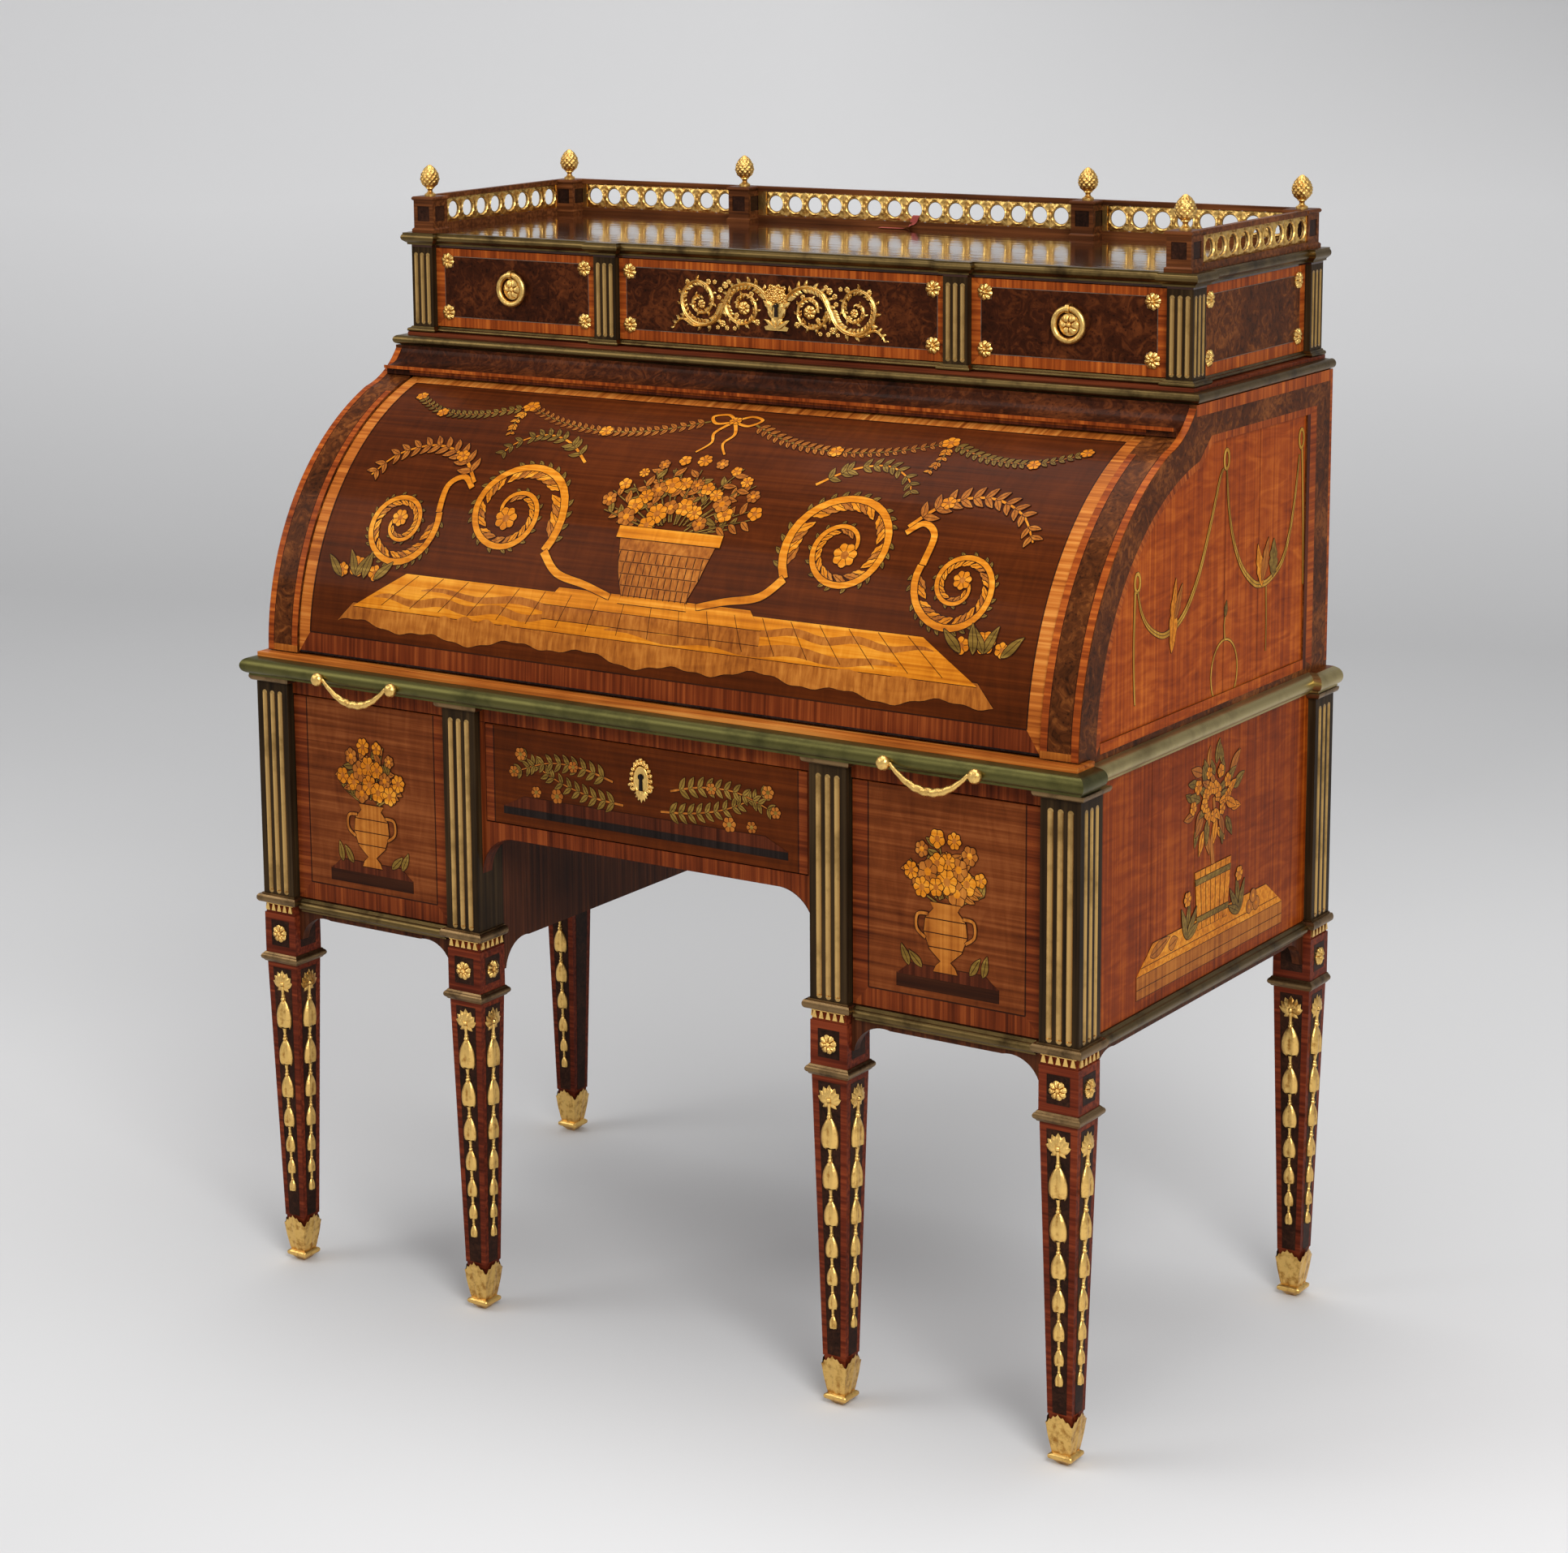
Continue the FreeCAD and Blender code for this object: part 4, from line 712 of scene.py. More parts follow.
def bracketed(cx, cy, degrees):
    """Whether a curved bracket covers this face of a leg's block."""
    if cy > 0:
        return degrees == 0
    outward = 90 if cx > 0 else -90
    return degrees in (180, -outward if abs(cx) > LEG_INNER_X else outward)


def dress_legs():
    chain = turned(husk_chain(), shift=(0, -10, BAND))
    rosette = flower(11, 8, 5)
    bar = flat_shape(rectangle(-21.5, 21.5, -2.2, 0), 2.2)
    gutta = flat_shape([(-1.2, -2), (1.2, -2), (3.2, -10.5), (-3.2, -10.5)], 2.6)
    foot = -(SHAFT_TOP - SABOT_TOP - 2)
    shaft_field = flat_shape([(-14.5, -7), (-8.5, foot), (8.5, foot), (14.5, -7)], BAND)
    block_field = flat_shape(rectangle(-14, 14, -16, 17), BAND)
    gilt, panels = [], []
    for cx, cy in LEGS:
        for degrees in FACES:
            if degrees == 180 and cy > 0:
                continue
            shaft = post_face(cx, cy, SHAFT_TOP, degrees, SHAFT_TOP_HALF, LEAN)
            block = post_face(cx, cy, (BLOCK_LOW + BLOCK_TOP) / 2, degrees, POST_HALF)
            panels += [placed(shaft_field, shaft), placed(block_field, block)]
            if not (cy > 0 and degrees * cx < 0):
                gilt.append(placed(chain, shaft))
            if bracketed(cx, cy, degrees):
                continue
            gilt.append(placed(turned(rosette, 12 + 30 * (degrees % 7), shift=(0, 0.5, BAND)), block))
            under = post_face(cx, cy, BLOCK_TOP + 13.8, degrees, POST_HALF - 1.5)
            gilt.append(placed(bar, under))
            gilt += [placed(turned(gutta, shift=(step * 8.9, 0, 0)), under) for step in range(-2, 3)]
    add("leg_mounts", joined(gilt), "gilt")
    add("leg_panels", joined(panels), "panel", smooth=False)


def square_rings(profile, centre):
    """Square mitred skin through (half width, height) stations."""
    rows = []
    for half, z in profile:
        corners = ((-half, -half), (half, -half), (half, half), (-half, half), (-half, -half))
        rows.append([(centre[0] + x + (nx - x) * step / 6, centre[1] + y + (ny - y) * step / 6, z)
                     for (x, y), (nx, ny) in zip(corners, corners[1:]) for step in range(6)])
    return skin(rows, ring=True)


def sabot(cx, cy):
    """Gilt shoe: four ribbed leaves over a rounded flange and a stepped tip."""
    height = SABOT_TOP - 11
    parts = []
    for degrees in FACES:
        place = facing((cx, cy, 14), degrees)
        rows = []
        for step in range(17):
            t = step / 16
            row = []
            for index in range(25):
                across = index / 12 - 1
                rise = t * (1 - 0.24 * abs(across) ** 1.3 - 0.06 * abs(math.sin(across * 9)))
                grow = 11 + 7 * rise ** 0.8
                vein = abs(math.sin(7 * rise + 5 * abs(across))) * min(1.0, 4 * abs(across))
                spine = math.exp(-(across * 5) ** 2)
                lift = 0.9 * vein * rise ** 0.5 + 1.5 * spine + 0.6 * math.cos(across * math.pi / 2) * t
                row.append(place((across * grow, height * rise, grow + lift * 0.8 - 0.3)))
            rows.append(row)
        parts.append(skin(rows))
    parts.append(square_rings([(5.6, 0.2), (10.4, 5.2), (12.4, 6.2), (14.2, 7.6), (14.8, 10), (14.2, 12.2),
                               (12.2, 13.6), (10.8, 14.4)], (cx, cy)))
    return joined(parts)


def make_sabots():
    piece = add("sabots", joined([sabot(cx, cy) for cx, cy in LEGS]), "gilt")
    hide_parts("leg_sabots")


# ---------------------------------------------------------------- attic ornaments

NOTCH = 13  # square taken out of each corner of a burl field
DRAWER_Z = (low("attic_drawer_centre_front", "z"), high("attic_drawer_centre_front", "z"))
FIELD_Z = (DRAWER_Z[0] + 13, DRAWER_Z[1] - 10)
RING_AT = Vector((high("ring_right", "x") + low("ring_right", "x"), 0,
                  high("ring_right", "z") + low("ring_right", "z"))) / 2


def crossbanded(name, body, place, outer, inner, upright, field, rosettes, turns):
    """Notched burl panel with a pale metal line, crossbanding outside and a rosette in each notch."""
    u0, u1, v0, v1 = inner
    sheets = border(outer, inner, "tulip_z", "tulip_z", upright)
    sheets += [(upright, rectangle(a, a + NOTCH, b, b + NOTCH), 0)
               for a in (u0, u1 - NOTCH) for b in (v0, v1 - NOTCH)]
    sheets.append(("pewter", notched(u0 - LINE, u1 + LINE, v0 - LINE, v1 + LINE, NOTCH), 1))
    sheets.append((field, notched(u0, u1, v0, v1, NOTCH), 2))
    veneers(name, body, place, sheets)
    bloom = flower(9.8, 8, 5)
    spots = [(a, b, 2 * BAND) for b in (v0 + 5, v1 - 5) for a in (u0 + 5, u1 - 5)]
    made = [placed(turned(bloom, degrees, spot), place) for degrees, spot in zip(turns, spots)]
    add(rosettes, joined(made), "gilt", body)


def along_path(path, spacing, side):
    """Leaves that spring from a stem, pointing forward and out."""
    made = []
    for index, at, heading in marks(path, spacing, spacing, 6):
        share = 1 - 0.5 * index / len(path)
        made.append(turned(blade(10.5 * share, 6 * share, 2.8, 0.25 * side), heading + side * 38, (*at, 0.3)))
    return made


def scroll_band(path, thick, thin):
    """Rounded scroll with a sunk middle, as a chased acanthus stem."""
    rows = []
    run, last = 0.0, path[0]
    for (u, v, across_u, across_v), width in zip(normals(path), taper(len(path), thick, thin)):
        run += math.dist((u, v), last)
        last = (u, v)
        swell = 1 + 0.22 * abs(math.sin(run / 3.2))
        row = []
        for across, lift in ((-1, 0), (-0.85, 0.9), (-0.35, 1.25), (0, 0.85), (0.35, 1.25), (0.85, 0.9), (1, 0)):
            reach = width * across * (swell if across > 0 else 1)
            row.append((u + across_u * reach, v + across_v * reach, width * lift))
        rows.append(row)
    return skin(rows)


def scroll_mount():
    """Pierced rinceaux either side of a keyhole vase heaped with flowers."""
    inner = smooth_path([(8, -6), (13, 8), (26, 20), (44, 24), (62, 18), (72, 4), (69, -12), (56, -23),
                         (40, -22), (30, -11), (32, 4), (44, 11), (55, 6), (57, -5)], 6)
    outer = smooth_path([(64, 17), (74, -2), (83, -18), (98, -27), (117, -26), (131, -14), (135, 4), (127, 18),
                         (112, 24), (98, 18), (91, 4), (96, -9), (108, -14), (119, -7), (118, 4), (109, 7)], 6)
    tail = smooth_path([(104, -28), (118, -29), (130, -23), (138, -23), (145, -29), (148, -34)], 6)
    half = [scroll_band(inner, 2.6, 1.5), scroll_band(outer, 2.9, 1.5), scroll_band(tail, 2.5, 1.0)]
    for path, side, spacing in ((inner, -1, 6.5), (inner, 1, 11), (outer, 1, 6.5), (outer, -1, 13), (tail, 1, 7)):
        half += along_path(path, spacing, side)
    for u, v, radius, lobes in ((46, -5, 8.4, 7), (28, -21, 4, 5), (73, 21, 4.4, 5), (80, 15, 3.6, 5), (68, 25, 3.2, 5),
                                (77, -25, 4.4, 5), (71, -30, 3.2, 5), (84, -30, 3.0, 5), (107, -3, 5.4, 6),
                                (97, 24, 3.6, 5), (127, 22, 3.6, 5), (82, 6, 3.2, 5), (20, 12, 3.0, 5),
                                (60, -30, 3.0, 5), (36, 12, 3.4, 5), (57, -14, 3.4, 5), (88, 24, 3.0, 5)):
        half.append(turned(flower(radius, lobes, radius * 0.55), 31 * radius, (u, v, 0.4)))
    centre = []
    for index in range(19):
        u, v = polar(3.3 * math.sqrt(index), math.tau * index * 0.382)
        centre.append(turned(flower(4.4 - 0.05 * index, 5, 3.6), 40 * index, (u, 14 + v * 0.82, 3.4 - 0.12 * index)))
    profile = [(12, 6), (15, 0), (11, -7), (7, -13), (4, -18), (5, -21), (17, -25), (15, -29)]
    centre.append(flat_shape([(-u, v) for u, v in profile] + profile[::-1], 2.4))
    for side in (-1, 1):
        for u, v, lean, length in ((0, -27, 72, 20), (0, -24, 50, 14), (5, -15, 40, 18), (9, -2, 66, 12),
                                   (6, -8, 20, 16)):
            centre.append(turned(blade(length, 7, 3.4, 0.22 * side), 90 - side * lean, (side * u, v, 1.6)))
    return joined(half + [turned(part, flip=True) for part in half] + centre)


def keyhole(name, body, at, lift, size):
    """Black slot with a round head, laid on the face: painted shade for the keyhole's dark opening."""
    head = [polar(2.2, math.radians(30 * step - 60)) for step in range(11)]
    outline = [(u, v + 2.5) for u, v in head] + [(-1.5, -7), (1.5, -7)]
    shape = flat_shape([(u * size, v * size) for u, v in outline], lift)
    add(name, placed(shape, facing(at)), "black", body)


def dress_attic():
    v0, v1 = DRAWER_Z
    near, far = low("attic_drawer_right_front", "x"), high("attic_drawer_right_front", "x")
    half = high("attic_drawer_centre_front", "x")
    for which, u0, u1, left, right in (("right", near, far, 13, 14), ("left", -far, -near, 14, 13),
                                       ("centre", -half, half, 11, 11)):
        name = "attic_" + which
        crossbanded(name, "attic_drawer_" + which, front_wall(ATTIC_FACE_Y), (u0, u1, v0, v1),
                    (u0 + left, u1 - right, *FIELD_Z), "tulip_x", "burl", name + "_rosettes", (0, 17, 34, 51))
    middle = (v0 + v1) / 2 + 3
    mount = facing((0, ATTIC_FACE_Y - 3 * BAND, middle))
    add("attic_scroll", placed(scroll_mount(), mount), "gilt", "attic_drawer_centre")
    keyhole("attic_keyhole", "attic_drawer_centre", (0, ATTIC_FACE_Y - 2.6, middle - 3), 2.4, 1.4)
    for side, name in SIDES:
        boss = facing((side * RING_AT.x, ATTIC_FACE_Y - 4, RING_AT.z))
        add("ring_rosette_" + name, placed(flower(12.2, 6, 4.5), boss), "gilt", "attic_drawer_" + name)
        u0, u1 = sorted((side * (ATTIC_FACE_Y + 26), side * (BACK_Y - 32)))
        crossbanded("attic_side_" + name, "desk", side_wall(side, ATTIC_SIDE_X), (u0, u1, v0 - 1, v1 + 1),
                    (u0 + 15, u1 - 14, *FIELD_Z), "tulip_y", "burl_light", "attic_side_rosettes_" + name, [20] * 4)


# ---------------------------------------------------------------- gallery

STRIP = (high("gallery_posts", "z") - 32, high("gallery_posts", "z") - 1)
STRIP_MIDDLE = (STRIP[0] + STRIP[1]) / 2
RING_PITCH = 29.3
HOLE_R = 10.5
INNER_POST_X = 246.5
RIBBON_WIDE = 10


def gallery_cell():
    """One pierced ring with leafy spandrels, both faces alike, on its own centre."""
    tracks = (1.0, 0.75, 0.5, 0.28, 0.12, 0.0)  # from the cell's edge to the hole
    half = (STRIP[1] - STRIP[0]) / 2
    rows = []
    for t, side in [(t, -1) for t in tracks] + [(t, 1) for t in tracks[::-1]]:
        row = []
        for a in circle(48):
            edge = min(RING_PITCH / 2 / max(abs(math.cos(a)), 1e-6), half / max(abs(math.sin(a)), 1e-6))
            reach = HOLE_R + (edge - HOLE_R) * t
            rim = 1.5 * math.exp(-((reach - HOLE_R - 1.3) / 0.9) ** 2)
            leaf = 1.5 * abs(math.sin(2 * a)) * abs(math.cos(7 * a)) * math.sin(math.pi * min(1, t * 1.1))
            turn = a % math.pi
            waist = 1.4 * (math.exp(-(turn / 0.16) ** 2) + math.exp(-((turn - math.pi) / 0.16) ** 2))
            row.append(polar(reach, a) + (side * (0.9 + rim + leaf + waist * t),))
        rows.append(row)
    return skin(rows, ring=True)


def make_gallery():
    cell = gallery_cell()
    strip_x = low("gallery_rings", "x") + 1.5
    strip_y = high("gallery_rings", "y") - 1.5
    inner, outer, post = INNER_POST_X, -strip_x - 12, 15
    front, back = 10 + post, strip_y - 10 - post
    made, rings = [], []
    for start, end, degrees, fixed in (
            (-outer + post, -inner - post, 0, strip_y), (-inner + post, inner - post, 0, strip_y),
            (inner + post, outer - post, 0, strip_y), (front, back, 90, strip_x), (front, back, 90, -strip_x)):

        def stand(at, turn):
            return facing((fixed, at, STRIP_MIDDLE) if degrees else (at, fixed, STRIP_MIDDLE), turn)

        count = int((end - start) / RING_PITCH)
        for step in range(count):
            rings.append(stand((start + end) / 2 + (step - (count - 1) / 2) * RING_PITCH, degrees))
            made.append(placed(cell, rings[-1]))
        half = (end - start - count * RING_PITCH) / 4
        plate = flat_shape(rectangle(-half, half, STRIP[0] - STRIP_MIDDLE, STRIP[1] - STRIP_MIDDLE), 1.6)
        made += [placed(plate, stand(at, turn)) for at in (start + half, end - half)
                 for turn in (degrees, degrees - 180)]
    # Rounded rims inside the holes, in darker bronze as painted shade for each hole's shadowed inner edge.
    rim = [[polar(HOLE_R + 0.7 * math.cos(b), a) + (0.9 * math.sin(b),) for a in circle(40)]
           for b in taper(7, math.pi / 2, math.pi * 3 / 2)]
    add("gallery_rims", joined([placed(skin(rim, ring=True), place) for place in rings]), "bronze")
    piece = add("gallery_band", joined(made), "gilt")
    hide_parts("gallery_rings")


def make_ribbon():
    """Red ribbon that hangs through a ring and lies along the top."""
    back, lying = high("gallery_rings", "y"), TOP_Z + 0.8
    path = smooth_path([(4, back + 2, STRIP[0] + 7), (3, back - 4, STRIP[0] + 8), (-1, back - 6, STRIP[0] - 2),
                        (-2, back - 9, TOP_Z + 5), (-8, back - 12, TOP_Z + 1), (-24, back - 14, lying),
                        (-44, back - 14, lying)], 6)
    rows = []
    for x, y, z in path:
        hang = min(1.0, max(0.0, (z - lying) / 8))
        here, wide = Vector((x, y, z)), Vector((hang, hang - 1, 0)).normalized() * RIBBON_WIDE / 2
        rows.append([here - wide, here + wide])
    long = sum(math.dist(a, b) for a, b in zip(path, path[1:]))
    piece = add("ribbon", skin(rows), "hide")


def pinecone(cx, cy, base):
    """Egg of overlapping scales on a turned stem."""
    turns = circle(60)
    levels = [(z, [radius] * 60) for radius, z in ((0.2, 0), (7, 0), (7, 2.5), (4.4, 4), (3, 6), (3.4, 8.6),
                                                   (5.4, 9.6), (5.2, 10.8))]
    for step in range(37):
        t = step / 36
        span, power = (0.63, 0.72) if t > 0.38 else (0.44, 0.55)
        body = 12.0 * max(0.0, 1 - abs((t - 0.38) / span) ** 1.9) ** power
        scales = [abs(math.sin(5 * turn + 13 * t)) * abs(math.sin(5 * turn - 13 * t)) for turn in turns]
        levels.append((10.8 + 28.2 * t, [max(0.3, body * (0.85 + 0.19 * scale ** 0.6)) for scale in scales]))
    rows = []
    for z, reaches in levels:
        spots = [polar(reach, turn) for reach, turn in zip(reaches, turns)]
        rows.append([(cx + x, cy + y, base + z) for x, y in spots])
    return skin(rows, ring=True)


def make_finials():
    base = low("finials", "z")
    x = high("finials", "x") - 12.5
    front, back = low("finials", "y") + 12.5, high("finials", "y") - 12.5
    places = [(side * across, y) for across, y in ((x, front), (x, back), (INNER_POST_X, back)) for side in (-1, 1)]
    piece = add("pinecones", joined([pinecone(cx, cy, base) for cx, cy in places]), "gilt")
    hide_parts("finials")
    plate = flat_shape(rectangle(-9.3, 9.3, -9.3, 9.3), BAND)
    plates = [placed(plate, post_face(cx, cy, STRIP_MIDDLE, degrees, 14)) for cx, cy in places for degrees in FACES]
    add("gallery_squares", joined(plates), "panel", smooth=False)


# ---------------------------------------------------------------- inlay

def moved(outline, degrees, shift):
    """Outline turned and moved in its plane."""
    return [(u, v) for u, v, _ in turned((outline, []), degrees, (*shift, 0.0))[0]]


def shifted(outline, by):
    """Outline grown outwards by a small step, for the dark edge of an inlaid piece."""
    area = sum(a[0] * b[1] - b[0] * a[1] for a, b in zip(outline, outline[1:] + outline[:1]))
    out = -by if area > 0 else by
    return [(u + across_u * out, v + across_v * out) for u, v, across_u, across_v in normals(outline, closed=True)]


def leaf(length, width, bend, teeth):
    """Leaf outline from the origin along +u, toothed where asked."""
    upper, lower = [], []
    for t in taper(15 if teeth else 10, 0.0, 1.0):
        half = width / 2 * math.sin(math.pi * t ** 0.8) + 0.2
        if teeth:
            half *= 0.72 + 0.28 * abs(math.sin(math.pi * teeth * t))
        centre = bend * length * math.sin(math.pi * t / 2) ** 2
        upper.append((length * t, centre + half))
        lower.append((length * t, centre - half))
    return lower + upper[::-1]


def round_outline(radius, lobes, depth):
    return [polar(radius * (1 - depth + depth * abs(math.cos(lobes * turn / 2))), turn)
            for turn in circle(max(12, lobes * 5))]


def ellipse(centre, across, tall, count):
    """Closed line; its last point repeats the first."""
    return [(centre[0] + across * math.cos(a), centre[1] + tall * math.sin(a)) for a in circle(count) + [math.tau]]


class Inlay:
    """Pieces of one picture in wood, each with its dark edge, gathered for one ground."""

    def __init__(self, layer, edge):
        self.sheets = []
        self.layer = layer
        self.edge = edge

    def piece(self, material, outline, above=0):
        self.sheets.append(("line", shifted(outline, self.edge), self.layer + above))
        self.sheets.append((material, outline, self.layer + above + 1))

    def band(self, material, path, thick, thin, above=0):
        self.piece(material, stroke(path, taper(len(path), thick, thin)), above)

    def line(self, path, half, above=2):
        self.sheets.append(("line", stroke(path, [half] * len(path)), self.layer + above))

    def leaf(self, at, degrees, length, width, bend, material, teeth=0):
        self.piece(material, moved(leaf(length, width, bend, teeth), degrees, at))
        vein = [(length * t, bend * length * math.sin(math.pi * t / 2) ** 2) for t in (0.08, 0.35, 0.6, 0.85)]
        self.line(moved(vein, degrees, at), 0.35)

    def bloom(self, at, radius, lobes, turn, colours=("amber", "honey"), above=1):
        self.piece(colours[0], moved(round_outline(radius, lobes, 0.22), turn, at), above)
        for step in range(lobes):
            spoke = moved([(radius * 0.35, 0.0), (radius * 0.85, 0.0)], turn + 360 * (step + 0.5) / lobes, at)
            self.line(spoke, 0.4, above + 2)
        heart = moved(round_outline(radius * 0.34, 5, 0.15), turn, at)
        self.sheets.append((colours[1], heart, self.layer + above + 3))

    def spray(self, path, material, stem, length, width, spacing, half):
        """Stem with leaves in pairs."""
        self.band(stem, path, half * 1.3, half * 0.5)
        for index, at, heading in marks(path, spacing, spacing):
            share = 1 - 0.35 * index / len(path)
            for side in (-1, 1):
                self.leaf(at, heading + side * 42, length * share, width * share, 0.12 * side, material)

    def scroll(self, centre, radius, start, turns, half, size):
        """Acanthus spiral: a tapering stem, leaves that spring from it and a rosette at its heart."""
        side = math.copysign(1, turns)
        path = spiral(centre, radius, start, turns, 0.86, 56)
        for index, at, heading in marks(path[:-12], 12 * size, 15 * size):
            share = (1 - 0.6 * index / len(path)) * size
            self.leaf(at, heading + side * 36, 30 * share, 13 * share, 0.22 * side,
                      "honey" if index % 2 else "amber", teeth=3)
            self.leaf(at, heading - side * 30, 15 * share, 7 * share, -0.2 * side, "moss")
        self.band("amber", path, half, half * 0.35, 1)
        self.bloom(path[-1], radius * 0.2, 7, 12, above=2)


def basket(inlay, at, wide, tall):
    """Woven basket with a foot and a rolled rim."""
    u, v = at
    for material, outline, above in (
            ("honey", [(-0.33, 0.08), (0.33, 0.08), (0.42, 0.4), (0.5, 0.86), (-0.5, 0.86), (-0.42, 0.4)], 0),
            ("amber", [(-0.36, 0), (0.36, 0), (0.33, 0.1), (-0.33, 0.1)], 0),
            ("amber", [(-0.54, 0.84), (0.54, 0.84), (0.54, 1), (-0.54, 1)], 1)):
        inlay.piece(material, [(u + a * wide, v + b * tall) for a, b in outline], above)
    for row in range(1, 5):
        level = v + tall * (0.08 + 0.15 * row)
        reach = wide * (0.33 + 0.035 * row)
        inlay.line([(u - reach, level), (u + reach, level)], 0.5)
        for step in range(12):
            across = reach * (2 * (step + 0.5 * (row % 2) + 0.25) / 12 - 1)
            if abs(across) < reach - 2:
                inlay.line([(u + across, level - tall * 0.14), (u + across, level - tall * 0.01)], 0.6)


def bouquet(inlay, at, wide, tall, count, seed):
    """Leaves and blooms heaped in a fan over a point."""
    draw = random.Random(seed)
    u, v = at

    def fan(reach, degrees):
        across, up = polar(reach, math.radians(degrees))
        return u + wide / 2 * across, v + tall * up

    for index in range(count * 2):
        degrees = 12 + 156 * (index + 0.5) / (count * 2) + draw.uniform(-5, 5)
        tip = fan(draw.uniform(0.62, 1.0), degrees)
        root = (u + (tip[0] - u) * 0.25, v + (tip[1] - v) * 0.2)
        bent = ((root[0] + tip[0]) / 2 + draw.uniform(-4, 4), (root[1] + tip[1]) / 2)
        inlay.band("moss", smooth_path([root, bent, tip], 5), 0.9, 0.5)
        side = -1 if index % 2 else 1
        for share in (0.45, 0.65, 0.85):
            place = (root[0] + (tip[0] - root[0]) * share, root[1] + (tip[1] - root[1]) * share)
            inlay.leaf(place, degrees + side * 45, 17, 7.5, 0.15 * side, "honey" if index % 3 else "moss")
    for index in range(count):
        degrees = 14 + 152 * (index + 0.5) / count
        for ring, size, turn in ((0.86, 0.8, 0), (0.56, 1.0, 7), (0.3, 1.1, 7)):
            if ring < 0.4 and index % 2:
                continue
            across, up = fan(ring, degrees + turn)
            colours = ("amber", "honey") if (index + int(ring * 10)) % 3 else ("honey", "amber")
            inlay.bloom((across, up + 3), draw.uniform(8.5, 12.5) * size, 5 + index % 3, draw.uniform(0, 60), colours)


# ---------------------------------------------------------------- roll and casings

CASING_LOW = AXIS.z + 4
FACING_X = low("casing_right", "x")
ARC_LOW = math.degrees(math.asin(4 / CASING_R))
NECK = 66.5  # degrees on the arc where the neck begins
NECK_TOP = (AXIS.y - 70, ATTIC_BASE - 4)
NECK_MIDDLE = (NECK_TOP[0] - 22, ATTIC_BASE - 27)
FIELD_SINK = 2


def on_profile(points):
    """Places (u, v, w) on a wall whose (y, z) outline is given: u along x, v along the outline."""
    runs = [0.0]
    for a, b in zip(points, points[1:]):
        runs.append(runs[-1] + math.dist(a, b))

    def spot(length):
        index = 1
        while index < len(runs) - 1 and runs[index] < length:
            index += 1
        share = (length - runs[index - 1]) / (runs[index] - runs[index - 1])
        return [a + (b - a) * share for a, b in zip(points[index - 1], points[index])]

    def place(p):
        y, z = spot(p[1])
        y0, z0 = spot(max(p[1] - 2, 0.0))
        y1, z1 = spot(min(p[1] + 2, runs[-1]))
        size = math.hypot(y1 - y0, z1 - z0)
        return Vector((p[0], y - (z1 - z0) / size * p[2], z + (y1 - y0) / size * p[2]))
    return place, runs[-1]


def arc_points(radius, low_degrees, high_degrees, count):
    """Points (y, z) about the roll's axis."""
    spots = [polar(radius, math.radians(degrees)) for degrees in taper(count + 1, low_degrees, high_degrees)]
    return [(AXIS.y - back, AXIS.z + up) for back, up in spots]


def round_through(a, b, c, count):
    """Points on the circle through three points, from the first to the last."""
    ax, ay, bx, by, cx, cy = *a, *b, *c
    d = 2 * (ax * (by - cy) + bx * (cy - ay) + cx * (ay - by))
    sa, sb, sc = ax * ax + ay * ay, bx * bx + by * by, cx * cx + cy * cy
    u = (sa * (by - cy) + sb * (cy - ay) + sc * (ay - by)) / d
    v = (sa * (cx - bx) + sb * (ax - cx) + sc * (bx - ax)) / d
    first, middle, last = [math.atan2(p[1] - v, p[0] - u) for p in (a, b, c)]
    sweep = (last - first) % math.tau
    if (middle - first) % math.tau > sweep:
        sweep -= math.tau
    spots = [polar(math.hypot(ax - u, ay - v), turn) for turn in taper(count + 1, first, first + sweep)]
    return [(u + across, v + up) for across, up in spots]


def casing_sheets():
    """Veneers of a cheek's outer side and of its sunk field, in (y, z)."""
    edge, rail, stile = BACK_Y - 6, BACK_Y - 42, BACK_Y - 66
    top, crown, head, field_top = ATTIC_BASE, ATTIC_BASE - 13, ATTIC_BASE - 38, ATTIC_BASE - 46
    sill, field_low = CASING_LOW + 1, CASING_LOW + 12
    inside = arc_points(CASING_R - 46, 3.2, 78, 30)
    outside = arc_points(CASING_R - 38, 0.8, 78, 30)
    corner_in, corner_out = (inside[-1][0] + 30, field_top), (inside[-1][0] + 27, head)
    shell = arc_points(CASING_R - 0.4, 0.8, NECK, 40)
    shell += round_through(shell[-1], (NECK_MIDDLE[0] + 0.4, NECK_MIDDLE[1]), NECK_TOP, 10)[1:]
    surround = [
        ("burl_light", shell + [(NECK_TOP[0], crown), (edge, crown), (edge, sill), (rail, sill), (rail, head),
                                corner_out] + outside[::-1], 0),
        ("tulip_z", [(NECK_TOP[0], crown), (edge, crown), (BACK_Y, top), (NECK_TOP[0], top)], 0),
        ("tulip_y", [(edge, CASING_LOW), (BACK_Y, CASING_LOW), (BACK_Y, top), (edge, crown)], 0),
        ("tulip_radial", inside + outside[::-1], 0),
        ("tulip_z", [inside[-1], corner_in, (stile + 8, field_top), (rail, head), corner_out, outside[-1]], 0),
        ("tulip_y", [(stile + 8, sill + 8), (rail, sill), (rail, head), (stile + 8, field_top)], 0),
        # Rosewood strip at the rear stile: the stile's red-brown edge, with painted shade where the stile stands proud
        # of the sunk field.
        ("rosewood", rectangle(stile, stile + 8, CASING_LOW, field_top), 0),
        ("maple", rectangle(inside[0][0] + 1, stile, CASING_LOW + 0.5, field_low), 0),
    ]
    field = [("maple", inside + [corner_in, (stile, field_top), (stile, field_low)], 0)]
    field += [("rosewood", rectangle(y, y + 0.5, field_low, 1087), 1) for y in (54, 140)]
    return surround, field


